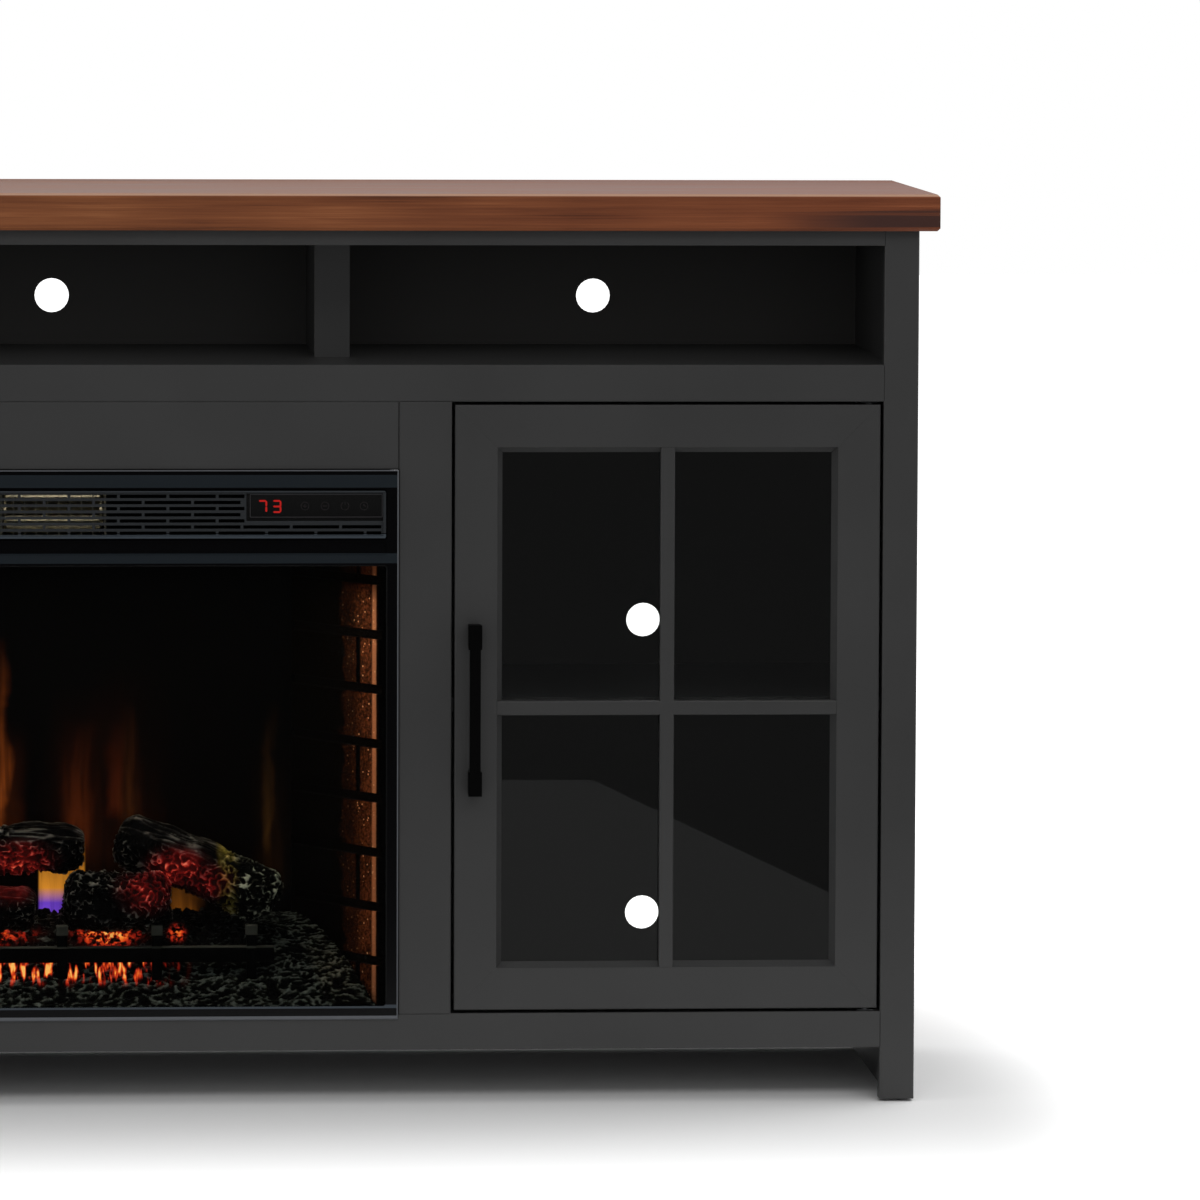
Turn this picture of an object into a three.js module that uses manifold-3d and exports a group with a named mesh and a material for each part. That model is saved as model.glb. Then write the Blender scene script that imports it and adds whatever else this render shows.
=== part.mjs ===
// A fireplace tv stand: a painted console with a wooden top, three open cubbies, two glazed doors
// and an electric fireplace insert between them. Millimetres, +Z up, the front faces -Y.
// The origin is on the floor under the middle of the whole object.
import * as THREE from "three";
import { mergeVertices } from "three/addons/utils/BufferGeometryUtils.js";
import Module from "manifold-3d";

const wasm = await Module();
wasm.setup();

// Cabinet body and top
const bodyWidth = 1840;
const bodyDepth = 430;
const topThickness = 39;
const topOverhang = 20;
const topArris = 3;
const sideThickness = 25;
const subTopThickness = 16;
const shelfThickness = 18;
const partitionThickness = 20;
const backThickness = 6;
const backRebate = 8;
const toeHeight = 58.75;
const glideHeight = 3;
const glideRadius = 12.5;
const glideTaper = 1.5;
const glideInset = 26;
const rearRailFoot = 6;

// Face frame, all of it flush at the front
const frameThickness = 20;
const stileWidth = 37;
const postWidth = 56;
const railHeight = 39;
const fasciaHeight = 72.5;
const frameArris = 1;
const seamGap = 0.5;

// Cubbies under the top
const cubbyHeight = 127;
const dividerSpacing = 601.5;
const dividerThickness = 38;
const dividerSetback = 154;

// Cable holes through the back
const cableHoleRadius = 19;
const cubbyHoleRise = 54;
const lowerHoleRise = 56;
const upperHoleRise = 385;

// Adjustable shelf on four pins
const looseShelfRise = 336.25;
const looseShelfThickness = 15;
const looseShelfSetback = 30;
const looseShelfEndGap = 0.5;
const looseShelfBackGap = 6;
const pinRadius = 2.5;
const pinUnderBoard = 10;
const pinSunk = 0.5;
const pinHoleRadius = 2.8;
const pinHoleDepth = 10;
const pinEndGap = 1;
const pinInset = 40;
const pinRowPitch = 32;
const pinRowsEachWay = 2;

// Doors, inset and flush
const doorGap = 3.5;
const doorThickness = 20;
const memberWidth = 45;
const beadWidth = 6;
const beadDepth = 12;
const glassLap = 8;
const doorGlassThickness = 4;
const doorGlassGap = 0.5;
const mitreGap = 0.05;
const muntinWidth = 15;
const muntinEndGap = 0.3;

// Bar handle
const handleProjection = 30;
const handleLength = 182.5;
const handleInset = 20.5;
const handleBarWidth = 11.5;
const handleBarThickness = 9;
const handleBlockWidth = 14.5;
const handleBlockLength = 26;
const handleBlockDraft = 1;

// Pivot hinge: a pin on a plate, above and below the door
const pivotInset = 12;
const pivotSetback = 8.5;
const pivotPinRadius = 2.5;
const pivotPinDepth = 14;
const pivotBoreGap = 0.3;
const pivotPlateThickness = 1.5;
const pivotPlateHalfWidth = 9;
const pivotPlateBack = 8;
const pivotPlateFront = 5;
const pivotCollarRadius = 4.5;
const pivotCollarGap = 0.3;

// Insert: front trim, glass, louvre grille and display
const insertOpening = 733;
const trimThickness = 4;
const trimLap = 5.5;
const trimArris = 1.2;
const trimSideWidth = 13.25;
const trimFootHeight = 14.25;
const windowHeight = 470.75;
const grilleHeight = 52.25;
const grilleDrop = 21.25;
const trimCornerRadius = 3;
const trimLipDepth = 10;
const trimLipGap = 0.5;
const bandZoneHeight = 28.75;
const bandRecess = 2;
const bandHeight = 14;
const bandRise = 12;
const insertGlassThickness = 4;
const insertGlassLap = 4;
const grilleThickness = 4;
const grilleBehindTrim = 2.5;
const grilleFlange = 3;
const grilleRim = 3;
const grilleRimProud = 0.5;
const grilleFit = 0.3;
const slotRows = 7;
const slotHeightShare = 0.56;
const slotPitch = 52.3;
const slotTie = 3;
const slotEdge = 2;
const shortestSlot = 6;
const displayWidth = 145;
const displayHeight = 29.5;
const displayDepth = 16;
const displaySunk = 0.8;
const lensThickness = 2.5;
const displayBodyInset = 3;

// Insert: housing
const housingWidth = 720;
const housingDepth = 236;
const housingTopGap = 4.5;
const sheetThickness = 2;
const chamberHeight = 87;
const ventCount = 8;
const ventWidth = 5;
const ventHeight = 50;
const ventPitch = 12;
const glandRadius = 12;
const glandBoreRadius = 4.5;
const glandLength = 6;
const glandInset = 60;
const glandRise = 42;

// Insert: blower with its duct and heater fins
const wheelRadius = 26;
const wheelHalfLength = 52;
const wheelShaftRadius = 4;
const wheelBlades = 18;
const bladeLength = 7;
const bladeThickness = 1.2;
const bladeTiltShare = 0.12;
const wheelDiscThickness = 2.5;
const wheelBack = 75;
const scrollGap = 3;
const scrollGrowth = 8;
const scrollTurnShare = 0.625;
const scrollSteps = 14;
const ductWall = 2;
const ductEndGap = 2;
const ductFront = 5;
const mouthHeight = 46;
const finCount = 8;
const finThickness = 1;
const finDepth = 16;
const bearingGap = 0.3;

// Insert: firebox
const screenToBack = 86;
const screenThickness = 3;
const screenHalfWidth = 257;
const screenTopGap = 1;
const brickThickness = 10;
const brickFrontHalfWidth = 346;
const brickFrontSetback = 14;
const brickCourse = 58.3;
const brickJoint = 10.5;
const brickJointDepth = 4;
const firstJointRise = 52.5;
const headJointSetback = 34;
const headJointWidth = 9;
const emberFrontHeight = 7;
const emberBackHeight = 92;
const emberSetback = 12;
const emberLump = 5;
const lumpPitch = 17;
const lumpShares = [
  [1.7, 0.6],
  [0.9, -2.1],
  [-0.8, 1.3],
];
const emberSideGap = 3;
const emberColumns = 40;
const emberRows = 12;
const grateBarHeight = 17;
const grateBarDepth = 10;
const grateBarRise = 50;
const grateSetback = 46;
const grateHalfWidth = 235;
const gratePostWidth = 13;
const gratePostPitch = 101;
const gratePostHeight = 40;
const grateOffset = 9;
const gratePostsEachWay = 2;

// Insert: flicker rod behind the flame screen
const flickerToBack = 46;
const flickerRise = 52;
const flickerRadius = 4;
const flickerLeafRadius = 17;
const flickerLeafThickness = 1.5;
const flickerLeafWidth = 34;
const flickerLeafPitch = 52;
const flickerLeafCount = 12;
const flickerTurnShare = 0.15;
const flickerEndGap = 3;
const bossRadius = 9;
const bossLength = 10;

// Logs: places as shares of the screen's half width to the right, of the log spacing up from the tops
// of the grate posts, and of the way back from the posts to the flame screen
const logSpacing = 60;
const logBark = 1.6;
const logRidges = 5;
const logTwistShare = 0.11;
const logEndShare = 0.86;
const logSeatGap = 0.3;
const logSides = 14;
const logRings = 14;
const logRightRadius = 31;
const logRightShares = [
  [0.272, 1.461, 0.673],
  [0.599, 0.956, 0.433],
  [0.922, 0.39, 0.192],
];
const logFrontRadius = 33;
const logFrontShares = [
  [0.035, 0.404, 0.192],
  [0.257, 0.371, 0.202],
  [0.494, 0.3625, 0.192],
];
const logLeftRadius = 28;
const logLeftShares = [
  [0.128, 1.269, 0.596],
  [-0.226, 1.2225, 0.596],
  [-0.985, -0.1275, 0.43],
];
const logLowRadius = 25;
const logLowShares = [
  [-0.074, 0.271, 0.192],
  [-0.233, 0.254, 0.212],
  [-0.82, -0.21, 0.38],
];

// How finely round shapes are drawn, and the overrun of a cutting shape
const holeFacets = 24;
const pinFacets = 12;
const smallFacets = 8;
const cornerSteps = 3;
const overrun = 1;
const mergeDistance = 0.0001;

// Places that follow from the sizes
const frontReach = Math.max(handleProjection, topOverhang);
const frontY = frontReach - (frontReach + bodyDepth + topOverhang) / 2;
const backY = frontY + bodyDepth;
const frameBack = frontY + frameThickness;
const backFace = backY - backThickness;
const halfBody = bodyWidth / 2;
const sideInner = halfBody - sideThickness;
const stileInner = halfBody - stileWidth;
const postInner = insertOpening / 2;
const postOuter = postInner + postWidth;
const bottomRailTop = toeHeight + railHeight;
const trimHalfWidth = postInner - seamGap;
const trimBottom = bottomRailTop - trimLap;
const windowHalfWidth = trimHalfWidth - trimSideWidth;
const windowBottom = trimBottom + trimFootHeight;
const windowTop = windowBottom + windowHeight;
const grilleBottom = windowTop + bandZoneHeight;
const grilleTop = grilleBottom + grilleHeight;
const trimTop = grilleTop + grilleDrop;
const midRailBottom = trimTop + fasciaHeight;
const cubbyFloor = midRailBottom + railHeight;
const subTopBottom = cubbyFloor + cubbyHeight;
const carcassHeight = subTopBottom + subTopThickness;
const backSplit = cubbyFloor - shelfThickness / 2;
const dividerInner = (dividerSpacing - dividerThickness) / 2;
const dividerOuter = (dividerSpacing + dividerThickness) / 2;
const looseShelfTop = bottomRailTop + looseShelfRise;
const looseShelfBottom = looseShelfTop - looseShelfThickness;
const looseShelfFront = frontY + looseShelfSetback;
const looseShelfBack = backFace - looseShelfBackGap;
const pinCentre = looseShelfBottom - pinRadius + pinSunk;
const pinPlaces = [looseShelfFront + pinInset, looseShelfBack - pinInset];
const doorLeft = postOuter + doorGap;
const doorRight = stileInner - doorGap;
const doorBottom = bottomRailTop + doorGap;
const doorTop = midRailBottom - doorGap;
const doorWidth = doorRight - doorLeft;
const doorHeight = doorTop - doorBottom;
const doorMiddleX = (doorLeft + doorRight) / 2;
const doorMiddleZ = (doorBottom + doorTop) / 2;
const sightInset = memberWidth + beadWidth;
const pivotX = doorRight - pivotInset;
const pivotY = frontY + pivotSetback;
const fieldHalfWidth = windowHalfWidth - grilleFit - grilleRim;
const fieldBottom = grilleBottom + grilleFit + grilleRim;
const fieldTop = grilleTop - grilleFit - grilleRim;
const grilleBack = frontY + grilleBehindTrim;
const grilleFront = grilleBack - grilleThickness;
const grilleCut = [frontY - trimThickness - grilleRimProud - overrun, grilleBack + overrun];
const displayLeft = fieldHalfWidth - displayWidth;
const displayBottom = fieldTop - displayHeight;
const housingHalfWidth = housingWidth / 2;
const housingBottom = bottomRailTop;
const housingTop = trimTop - housingTopGap;
const housingBack = frontY + housingDepth;
const wallInner = housingHalfWidth - sheetThickness;
const fireFloor = housingBottom + sheetThickness;
const chamberTop = housingTop - sheetThickness;
const chamberFloor = chamberTop - chamberHeight;
const fireCeiling = chamberFloor - sheetThickness;
const screenSetback = housingDepth - screenToBack;
const postMiddle = frontY + grateSetback - gratePostWidth / 2;
const postTop = fireFloor + grateBarRise + gratePostHeight;
const wheelY = frontY + wheelBack;
const mouthMiddle = (fieldTop + fieldBottom) / 2;
const flickerY = housingBack - flickerToBack;
const flickerZ = fireFloor + flickerRise;

// Finishes
function finish(color, roughness, metalness = 0, opacity = 1) {
  return new THREE.MeshStandardMaterial({
    color,
    roughness,
    metalness,
    opacity,
    transparent: opacity < 1,
  });
}
const paint = finish(0x363636, 0.55);
const wood = finish(0x6b4030, 0.5);
const hardboard = finish(0x2a2a2b, 0.8);
const clearGlass = finish(0xdfe5e3, 0.05, 0, 0.25);
const blackMetal = finish(0x0c0c0c, 0.4, 0.6);
const steel = finish(0x8b8c8e, 0.35, 1);
const plastic = finish(0x17181a, 0.5);
const sheetMetal = finish(0x1b1c1e, 0.45, 0.7);
const heaterMetal = finish(0x9a9c98, 0.35, 1);
const smokedGlass = finish(0x15110f, 0.05, 0, 0.35);
const brickCast = finish(0x7a4a2c, 0.9);
const ashCast = finish(0x2b2926, 0.95);
const barkCast = finish(0x1f1b19, 0.9);
const mirrorStrip = finish(0xc8c8c8, 0.15, 1);
const nylon = finish(0x101010, 0.6);

// Shape helpers
function ordered(a, b) {
  return [Math.min(a, b), Math.max(a, b)];
}

function block([x0, x1], [y0, y1], [z0, z1]) {
  const box = new THREE.BoxGeometry(x1 - x0, y1 - y0, z1 - z0);
  return box.translate((x0 + x1) / 2, (y0 + y1) / 2, (z0 + z1) / 2);
}

function outlineShape(points) {
  return new THREE.Shape(points.map(([a, b]) => new THREE.Vector2(a, b)));
}

// A straight prism whose edges may be bevelled inside its own outline
function prism(shape, length, bevel = 0) {
  return new THREE.ExtrudeGeometry(shape, {
    depth: length - 2 * bevel,
    bevelEnabled: bevel > 0,
    bevelThickness: bevel,
    bevelSize: bevel,
    bevelOffset: -bevel,
    bevelSegments: 1,
    curveSegments: cornerSteps,
  }).translate(0, 0, bevel);
}

// Outline in x and y, standing from z0 to z1
function prismUp(shape, z0, z1, bevel) {
  return prism(shape, z1 - z0, bevel).translate(0, 0, z0);
}

// Outline in y and z, lying from x0 to x1
function prismAcross(shape, x0, x1, bevel) {
  const turned = new THREE.Matrix4().set(0, 0, 1, x0, 1, 0, 0, 0, 0, 1, 0, 0, 0, 0, 0, 1);
  return prism(shape, x1 - x0, bevel).applyMatrix4(turned);
}

// Outline in x and z, running back from y0 to y1
function prismBack(shape, y0, y1, bevel) {
  const turned = new THREE.Matrix4().set(1, 0, 0, 0, 0, 0, -1, y1, 0, 1, 0, 0, 0, 0, 0, 1);
  return prism(shape, y1 - y0, bevel).applyMatrix4(turned);
}

function roundedRectangle(x0, x1, z0, z1, radius) {
  const shape = new THREE.Shape();
  shape.moveTo(x0 + radius, z0);
  shape.lineTo(x1 - radius, z0);
  shape.absarc(x1 - radius, z0 + radius, radius, -Math.PI / 2, 0);
  shape.lineTo(x1, z1 - radius);
  shape.absarc(x1 - radius, z1 - radius, radius, 0, Math.PI / 2);
  shape.lineTo(x0 + radius, z1);
  shape.absarc(x0 + radius, z1 - radius, radius, Math.PI / 2, Math.PI);
  shape.lineTo(x0, z0 + radius);
  shape.absarc(x0 + radius, z0 + radius, radius, Math.PI, Math.PI * 1.5);
  return shape;
}

function rectangle(x0, x1, z0, z1) {
  return outlineShape([[x0, z0], [x1, z0], [x1, z1], [x0, z1]]);
}

function rodAcross(radius, x0, x1, y, z, facets = pinFacets) {
  const rod = new THREE.CylinderGeometry(radius, radius, x1 - x0, facets);
  return rod.rotateZ(Math.PI / 2).translate((x0 + x1) / 2, y, z);
}

function rodBack(radius, y0, y1, x, z, facets = holeFacets) {
  const rod = new THREE.CylinderGeometry(radius, radius, y1 - y0, facets);
  return rod.translate(x, (y0 + y1) / 2, z);
}

function rodUp(radius, z0, z1, x, y, facets = pinFacets) {
  const rod = new THREE.CylinderGeometry(radius, radius, z1 - z0, facets);
  return rod.rotateX(Math.PI / 2).translate(x, y, (z0 + z1) / 2);
}

// Joining and cutting closed shapes
function solidOf(geometry) {
  const bare = geometry.index ? geometry.toNonIndexed() : geometry.clone();
  bare.deleteAttribute("normal");
  bare.deleteAttribute("uv");
  const merged = mergeVertices(bare, mergeDistance);
  const mesh = new wasm.Mesh({
    numProp: 3,
    vertProperties: merged.getAttribute("position").array,
    triVerts: new Uint32Array(merged.index.array),
  });
  return new wasm.Manifold(mesh);
}

function geometryOf(solid) {
  const mesh = solid.getMesh();
  const geometry = new THREE.BufferGeometry();
  geometry.setAttribute("position", new THREE.BufferAttribute(mesh.vertProperties, 3));
  geometry.setIndex(new THREE.BufferAttribute(mesh.triVerts, 1));
  geometry.computeVertexNormals();
  return geometry;
}

function join(shapes) {
  return geometryOf(shapes.map(solidOf).reduce((whole, next) => whole.add(next)));
}

function cut(shape, tools) {
  return geometryOf(tools.map(solidOf).reduce((left, tool) => left.subtract(tool), solidOf(shape)));
}

// A closed skin through rings of the same count; the outline says how the end caps are split
function loft(rings, outline) {
  const count = outline.length;
  const faces = [];
  const caps = THREE.ShapeUtils.triangulateShape(outline, []);
  const lastRing = (rings.length - 1) * count;
  for (const [a, b, c] of caps) {
    faces.push(c, b, a);
    faces.push(lastRing + a, lastRing + b, lastRing + c);
  }
  for (let ring = 0; ring < rings.length - 1; ring += 1) {
    for (let i = 0; i < count; i += 1) {
      const next = (i + 1) % count;
      const near = ring * count;
      const far = near + count;
      faces.push(near + i, near + next, far + next);
      faces.push(near + i, far + next, far + i);
    }
  }
  const points = rings.flat();
  let volume = 0;
  for (let i = 0; i < faces.length; i += 3) {
    const [a, b, c] = [points[faces[i]], points[faces[i + 1]], points[faces[i + 2]]];
    volume += a.dot(b.clone().cross(c));
  }
  if (volume < 0) {
    faces.reverse();
  }
  const geometry = new THREE.BufferGeometry().setFromPoints(points);
  geometry.setIndex(faces);
  geometry.computeVertexNormals();
  return geometry;
}

// Cabinet pieces
function topBoard() {
  const halfWidth = halfBody + topOverhang;
  const outline = rectangle(-halfWidth, halfWidth, frontY - topOverhang, backY + topOverhang);
  return prismUp(outline, carcassHeight, carcassHeight + topThickness, topArris);
}

function subTop() {
  const outline = outlineShape([
    [-sideInner, backFace],
    [-sideInner, frameBack],
    [-stileInner, frameBack],
    [-stileInner, frontY],
    [stileInner, frontY],
    [stileInner, frameBack],
    [sideInner, frameBack],
    [sideInner, backFace],
  ]);
  return prismUp(outline, subTopBottom, carcassHeight);
}

// Section of a face-frame bar from a to b, with its two front edges eased
function barSection(a, b) {
  return [
    [a, frameBack],
    [a, frontY + frameArris],
    [a + frameArris, frontY],
    [b - frameArris, frontY],
    [b, frontY + frameArris],
    [b, frameBack],
  ];
}

function uprightBar(x0, x1, z0, z1) {
  return prismUp(outlineShape(barSection(x0, x1)), z0, z1);
}

function levelBar(halfLength, z0, z1) {
  const section = barSection(z0, z1).map(([z, y]) => [y, z]);
  return prismAcross(outlineShape(section), -halfLength, halfLength);
}

function pinHoles(x0, x1) {
  const holes = [];
  for (const y of pinPlaces) {
    for (let row = -pinRowsEachWay; row <= pinRowsEachWay; row += 1) {
      const z = pinCentre + row * pinRowPitch;
      holes.push(rodAcross(pinHoleRadius, x0, x1, y, z, smallFacets));
    }
  }
  return holes;
}

function sidePanel() {
  const outline = outlineShape([
    [sideInner, frameBack],
    [halfBody, frameBack],
    [halfBody, backY],
    [sideInner + backRebate, backY],
    [sideInner + backRebate, backFace],
    [sideInner, backFace],
  ]);
  const panel = prismUp(outline, glideHeight, carcassHeight);
  return cut(panel, pinHoles(sideInner - overrun, sideInner + pinHoleDepth));
}

function partition() {
  const panel = block(
    [postOuter - partitionThickness, postOuter],
    [frameBack, backFace],
    [bottomRailTop, cubbyFloor - shelfThickness],
  );
  return cut(panel, pinHoles(postOuter - pinHoleDepth, postOuter + overrun));
}

function fasciaPanel() {
  const halfWidth = postInner - seamGap;
  const outline = rectangle(-halfWidth, halfWidth, trimTop + seamGap, midRailBottom);
  return prismBack(outline, frontY, frameBack, frameArris);
}

function rearRail() {
  const outline = rectangle(-sideInner, sideInner, rearRailFoot, bottomRailTop - shelfThickness);
  return prismBack(outline, backFace - frameThickness, backFace);
}

function cableHole(x, z) {
  return rodBack(cableHoleRadius, backFace - overrun, backY + overrun, x, z);
}

function upperBack() {
  const halfWidth = sideInner + backRebate - seamGap;
  const cubbyMiddle = (dividerOuter + stileInner) / 2;
  const panel = block([-halfWidth, halfWidth], [backFace, backY], [backSplit, carcassHeight]);
  const holeHeight = cubbyFloor + cubbyHoleRise;
  return cut(panel, [-cubbyMiddle, 0, cubbyMiddle].map((x) => cableHole(x, holeHeight)));
}

function lowerBack() {
  const middle = (postOuter + sideInner) / 2;
  const panel = block(
    [postOuter - partitionThickness / 2, sideInner + backRebate - seamGap],
    [backFace, backY],
    [bottomRailTop - shelfThickness, backSplit - seamGap],
  );
  return cut(panel, [lowerHoleRise, upperHoleRise].map((rise) => cableHole(middle, bottomRailTop + rise)));
}

function looseShelf() {
  const pieces = [
    block(
      [postOuter + looseShelfEndGap, sideInner - looseShelfEndGap],
      [looseShelfFront, looseShelfBack],
      [looseShelfBottom, looseShelfTop],
    ),
  ];
  const reach = pinHoleDepth - pinEndGap;
  for (const y of pinPlaces) {
    const pin = (x0, x1) => rodAcross(pinRadius, x0, x1, y, pinCentre, smallFacets);
    pieces.push(pin(postOuter - reach, postOuter + pinUnderBoard));
    pieces.push(pin(sideInner - pinUnderBoard, sideInner + reach));
  }
  return join(pieces);
}

function glide(y) {
  const foot = new THREE.CylinderGeometry(glideRadius - glideTaper, glideRadius, glideHeight, holeFacets);
  return foot.rotateX(-Math.PI / 2).translate(halfBody - sideThickness / 2, y, glideHeight / 2);
}

// Door pieces
const memberSection = [
  [frameArris, 0],
  [memberWidth, 0],
  [sightInset, beadDepth],
  [sightInset - glassLap, beadDepth],
  [sightInset - glassLap, doorThickness],
  [0, doorThickness],
  [0, frameArris],
];

// A moulded frame member with both ends mitred; place turns (along, inward, back) into a point
function mitredMember(length, place) {
  const outline = memberSection.map(([inward, back]) => new THREE.Vector2(inward, back));
  const ends = [-1, 1].map((side) =>
    memberSection.map(([inward, back]) => place(side * (length / 2 - inward - mitreGap), inward, back)),
  );
  return loft(ends, outline);
}

function pivotBores() {
  const radius = pivotPinRadius + pivotBoreGap;
  const depth = pivotPinDepth + overrun;
  return [
    rodUp(radius, doorTop - depth, doorTop + overrun, pivotX, pivotY),
    rodUp(radius, doorBottom - overrun, doorBottom + depth, pivotX, pivotY),
  ];
}

function hingeStile() {
  const bar = mitredMember(doorHeight, (along, inward, back) =>
    new THREE.Vector3(doorRight - inward, frontY + back, doorMiddleZ + along));
  return cut(bar, pivotBores());
}

function lockStile() {
  return mitredMember(doorHeight, (along, inward, back) =>
    new THREE.Vector3(doorLeft + inward, frontY + back, doorMiddleZ + along));
}

function doorTopRail() {
  const bar = mitredMember(doorWidth, (along, inward, back) =>
    new THREE.Vector3(doorMiddleX + along, frontY + back, doorTop - inward));
  return cut(bar, pivotBores());
}

function doorBottomRail() {
  const bar = mitredMember(doorWidth, (along, inward, back) =>
    new THREE.Vector3(doorMiddleX + along, frontY + back, doorBottom + inward));
  return cut(bar, pivotBores());
}

function crossOutline(armX, armZ, half) {
  return [
    [-half, -armZ], [half, -armZ], [half, -half], [armX, -half],
    [armX, half], [half, half], [half, armZ], [-half, armZ],
    [-half, half], [-armX, half], [-armX, -half], [-half, -half],
  ];
}

// The glazing cross, flush with the door's face and cut to the slope of the beads at its ends
function muntinGrille() {
  const sightX = doorWidth / 2 - sightInset - muntinEndGap;
  const sightZ = doorHeight / 2 - sightInset - muntinEndGap;
  const slope = beadWidth / beadDepth;
  const layers = [
    [0, muntinWidth / 2 - frameArris],
    [frameArris, muntinWidth / 2],
    [beadDepth, muntinWidth / 2],
  ];
  const rings = layers.map(([back, half]) => {
    const extra = (beadDepth - back) * slope;
    return crossOutline(sightX + extra, sightZ + extra, half).map(
      ([x, z]) => new THREE.Vector3(doorMiddleX + x, frontY + back, doorMiddleZ + z),
    );
  });
  const outline = crossOutline(sightX, sightZ, muntinWidth / 2).map(([x, z]) => new THREE.Vector2(x, z));
  return loft(rings, outline);
}

function doorGlass() {
  const inset = sightInset - glassLap + doorGlassGap;
  return block(
    [doorLeft + inset, doorRight - inset],
    [frontY + beadDepth, frontY + beadDepth + doorGlassThickness],
    [doorBottom + inset, doorTop - inset],
  );
}

function handle() {
  const x = doorLeft + handleInset;
  const halfBar = handleBarWidth / 2;
  const halfGrip = handleLength / 2 - handleBlockLength + overrun;
  const pieces = [
    block(
      [x - halfBar, x + halfBar],
      [frontY - handleProjection, frontY - handleProjection + handleBarThickness],
      [doorMiddleZ - halfGrip, doorMiddleZ + halfGrip],
    ),
  ];
  for (const side of [-1, 1]) {
    const middle = doorMiddleZ + side * (handleLength - handleBlockLength) / 2;
    const rings = [0, 1].map((share) => {
      const halfX = handleBlockWidth / 2 - (1 - share) * handleBlockDraft;
      const halfZ = handleBlockLength / 2 - (1 - share) * handleBlockDraft;
      return [[-halfX, -halfZ], [halfX, -halfZ], [halfX, halfZ], [-halfX, halfZ]].map(
        ([a, b]) => new THREE.Vector3(x + a, frontY - share * handleProjection, middle + b),
      );
    });
    pieces.push(loft(rings, rings[0].map((point) => new THREE.Vector2(point.x, point.z))));
  }
  return join(pieces);
}

// Plate, collar and pin: edge is the rail's face, doorEdge the door's, inward the way into the door
function pivot(edge, doorEdge) {
  const inward = Math.sign(doorEdge - edge);
  const plateFace = edge + inward * pivotPlateThickness;
  const collarFace = doorEdge - inward * pivotCollarGap;
  const pinEnd = doorEdge + inward * pivotPinDepth;
  return join([
    block(
      [pivotX - pivotPlateHalfWidth, pivotX + pivotPlateHalfWidth],
      [pivotY - pivotPlateFront, pivotY + pivotPlateBack],
      ordered(edge, plateFace),
    ),
    rodUp(pivotCollarRadius, ...ordered(edge, collarFace), pivotX, pivotY),
    rodUp(pivotPinRadius, ...ordered(edge, pinEnd), pivotX, pivotY),
  ]);
}

// Insert front
function insertTrim() {
  const outline = rectangle(-trimHalfWidth, trimHalfWidth, trimBottom, trimTop);
  outline.holes.push(
    roundedRectangle(-windowHalfWidth, windowHalfWidth, windowBottom, windowTop, trimCornerRadius),
    roundedRectangle(-windowHalfWidth, windowHalfWidth, grilleBottom, grilleTop, trimCornerRadius),
  );
  const plate = prismBack(outline, frontY - trimThickness, frontY, trimArris);
  const band = block(
    [-windowHalfWidth, windowHalfWidth],
    [frontY - trimThickness - overrun, frontY - trimThickness + bandRecess],
    [windowTop + bandRise, windowTop + bandRise + bandHeight],
  );
  const lipDepth = [frontY - trimThickness / 2, frontY + trimLipDepth];
  const lipInner = housingHalfWidth + trimLipGap;
  const lipFoot = housingTop + trimLipGap;
  const lips = [-1, 1].map((side) => {
    const sides = ordered(side * lipInner, side * (trimHalfWidth - trimArris));
    return block(sides, lipDepth, [bottomRailTop + trimLipGap, trimTop - trimArris]);
  });
  lips.push(block([-lipInner, lipInner], lipDepth, [lipFoot, trimTop - trimArris]));
  return cut(join([plate, ...lips]), [band]);
}

function insertGlass() {
  const halfWidth = windowHalfWidth + insertGlassLap;
  return block(
    [-halfWidth, halfWidth],
    [frontY, frontY + insertGlassThickness],
    [windowBottom - insertGlassLap, windowTop + insertGlassLap],
  );
}

// One row of slots between x0 and x1, every second row shifted by half a slot
function slotRow(row, x0, x1) {
  const pitch = (fieldTop - fieldBottom) / slotRows;
  const middle = fieldBottom + (row + 1 / 2) * pitch;
  const half = (pitch * slotHeightShare) / 2;
  const shift = row % 2 ? slotPitch / 2 : 0;
  const slots = [];
  for (let x = -fieldHalfWidth - shift; x < x1; x += slotPitch) {
    const left = Math.max(x + slotTie / 2, x0);
    const right = Math.min(x + slotPitch - slotTie / 2, x1);
    if (right - left > shortestSlot) {
      slots.push(block([left, right], grilleCut, [middle - half, middle + half]));
    }
  }
  return slots;
}

// A thin slotted panel inside a proud rim, with a flange behind the trim that holds it
function louvreGrille() {
  const rimHalfWidth = fieldHalfWidth + grilleRim;
  const rimBottom = fieldBottom - grilleRim;
  const rimTop = fieldTop + grilleRim;
  const rimOutline = roundedRectangle(-rimHalfWidth, rimHalfWidth, rimBottom, rimTop, trimCornerRadius);
  const flangeReach = grilleFit + grilleFlange;
  const flange = block(
    [-rimHalfWidth - flangeReach, rimHalfWidth + flangeReach],
    [frontY, grilleBack],
    [rimBottom - flangeReach, rimTop + flangeReach],
  );
  const bezel = join([prismBack(rimOutline, frontY - trimThickness - grilleRimProud, grilleBack), flange]);
  const field = [-fieldHalfWidth, fieldHalfWidth];
  const cuts = [
    block(field, [grilleCut[0], grilleFront], [fieldBottom, fieldTop]),
    block([displayLeft, fieldHalfWidth], grilleCut, [displayBottom, fieldTop]),
  ];
  const rowPitch = (fieldTop - fieldBottom) / slotRows;
  for (let row = 0; row < slotRows; row += 1) {
    const clear = fieldBottom + (row + 1) * rowPitch < displayBottom;
    const right = clear ? fieldHalfWidth : displayLeft;
    cuts.push(...slotRow(row, slotEdge - fieldHalfWidth, right - slotEdge));
  }
  return cut(bezel, cuts);
}

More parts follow.
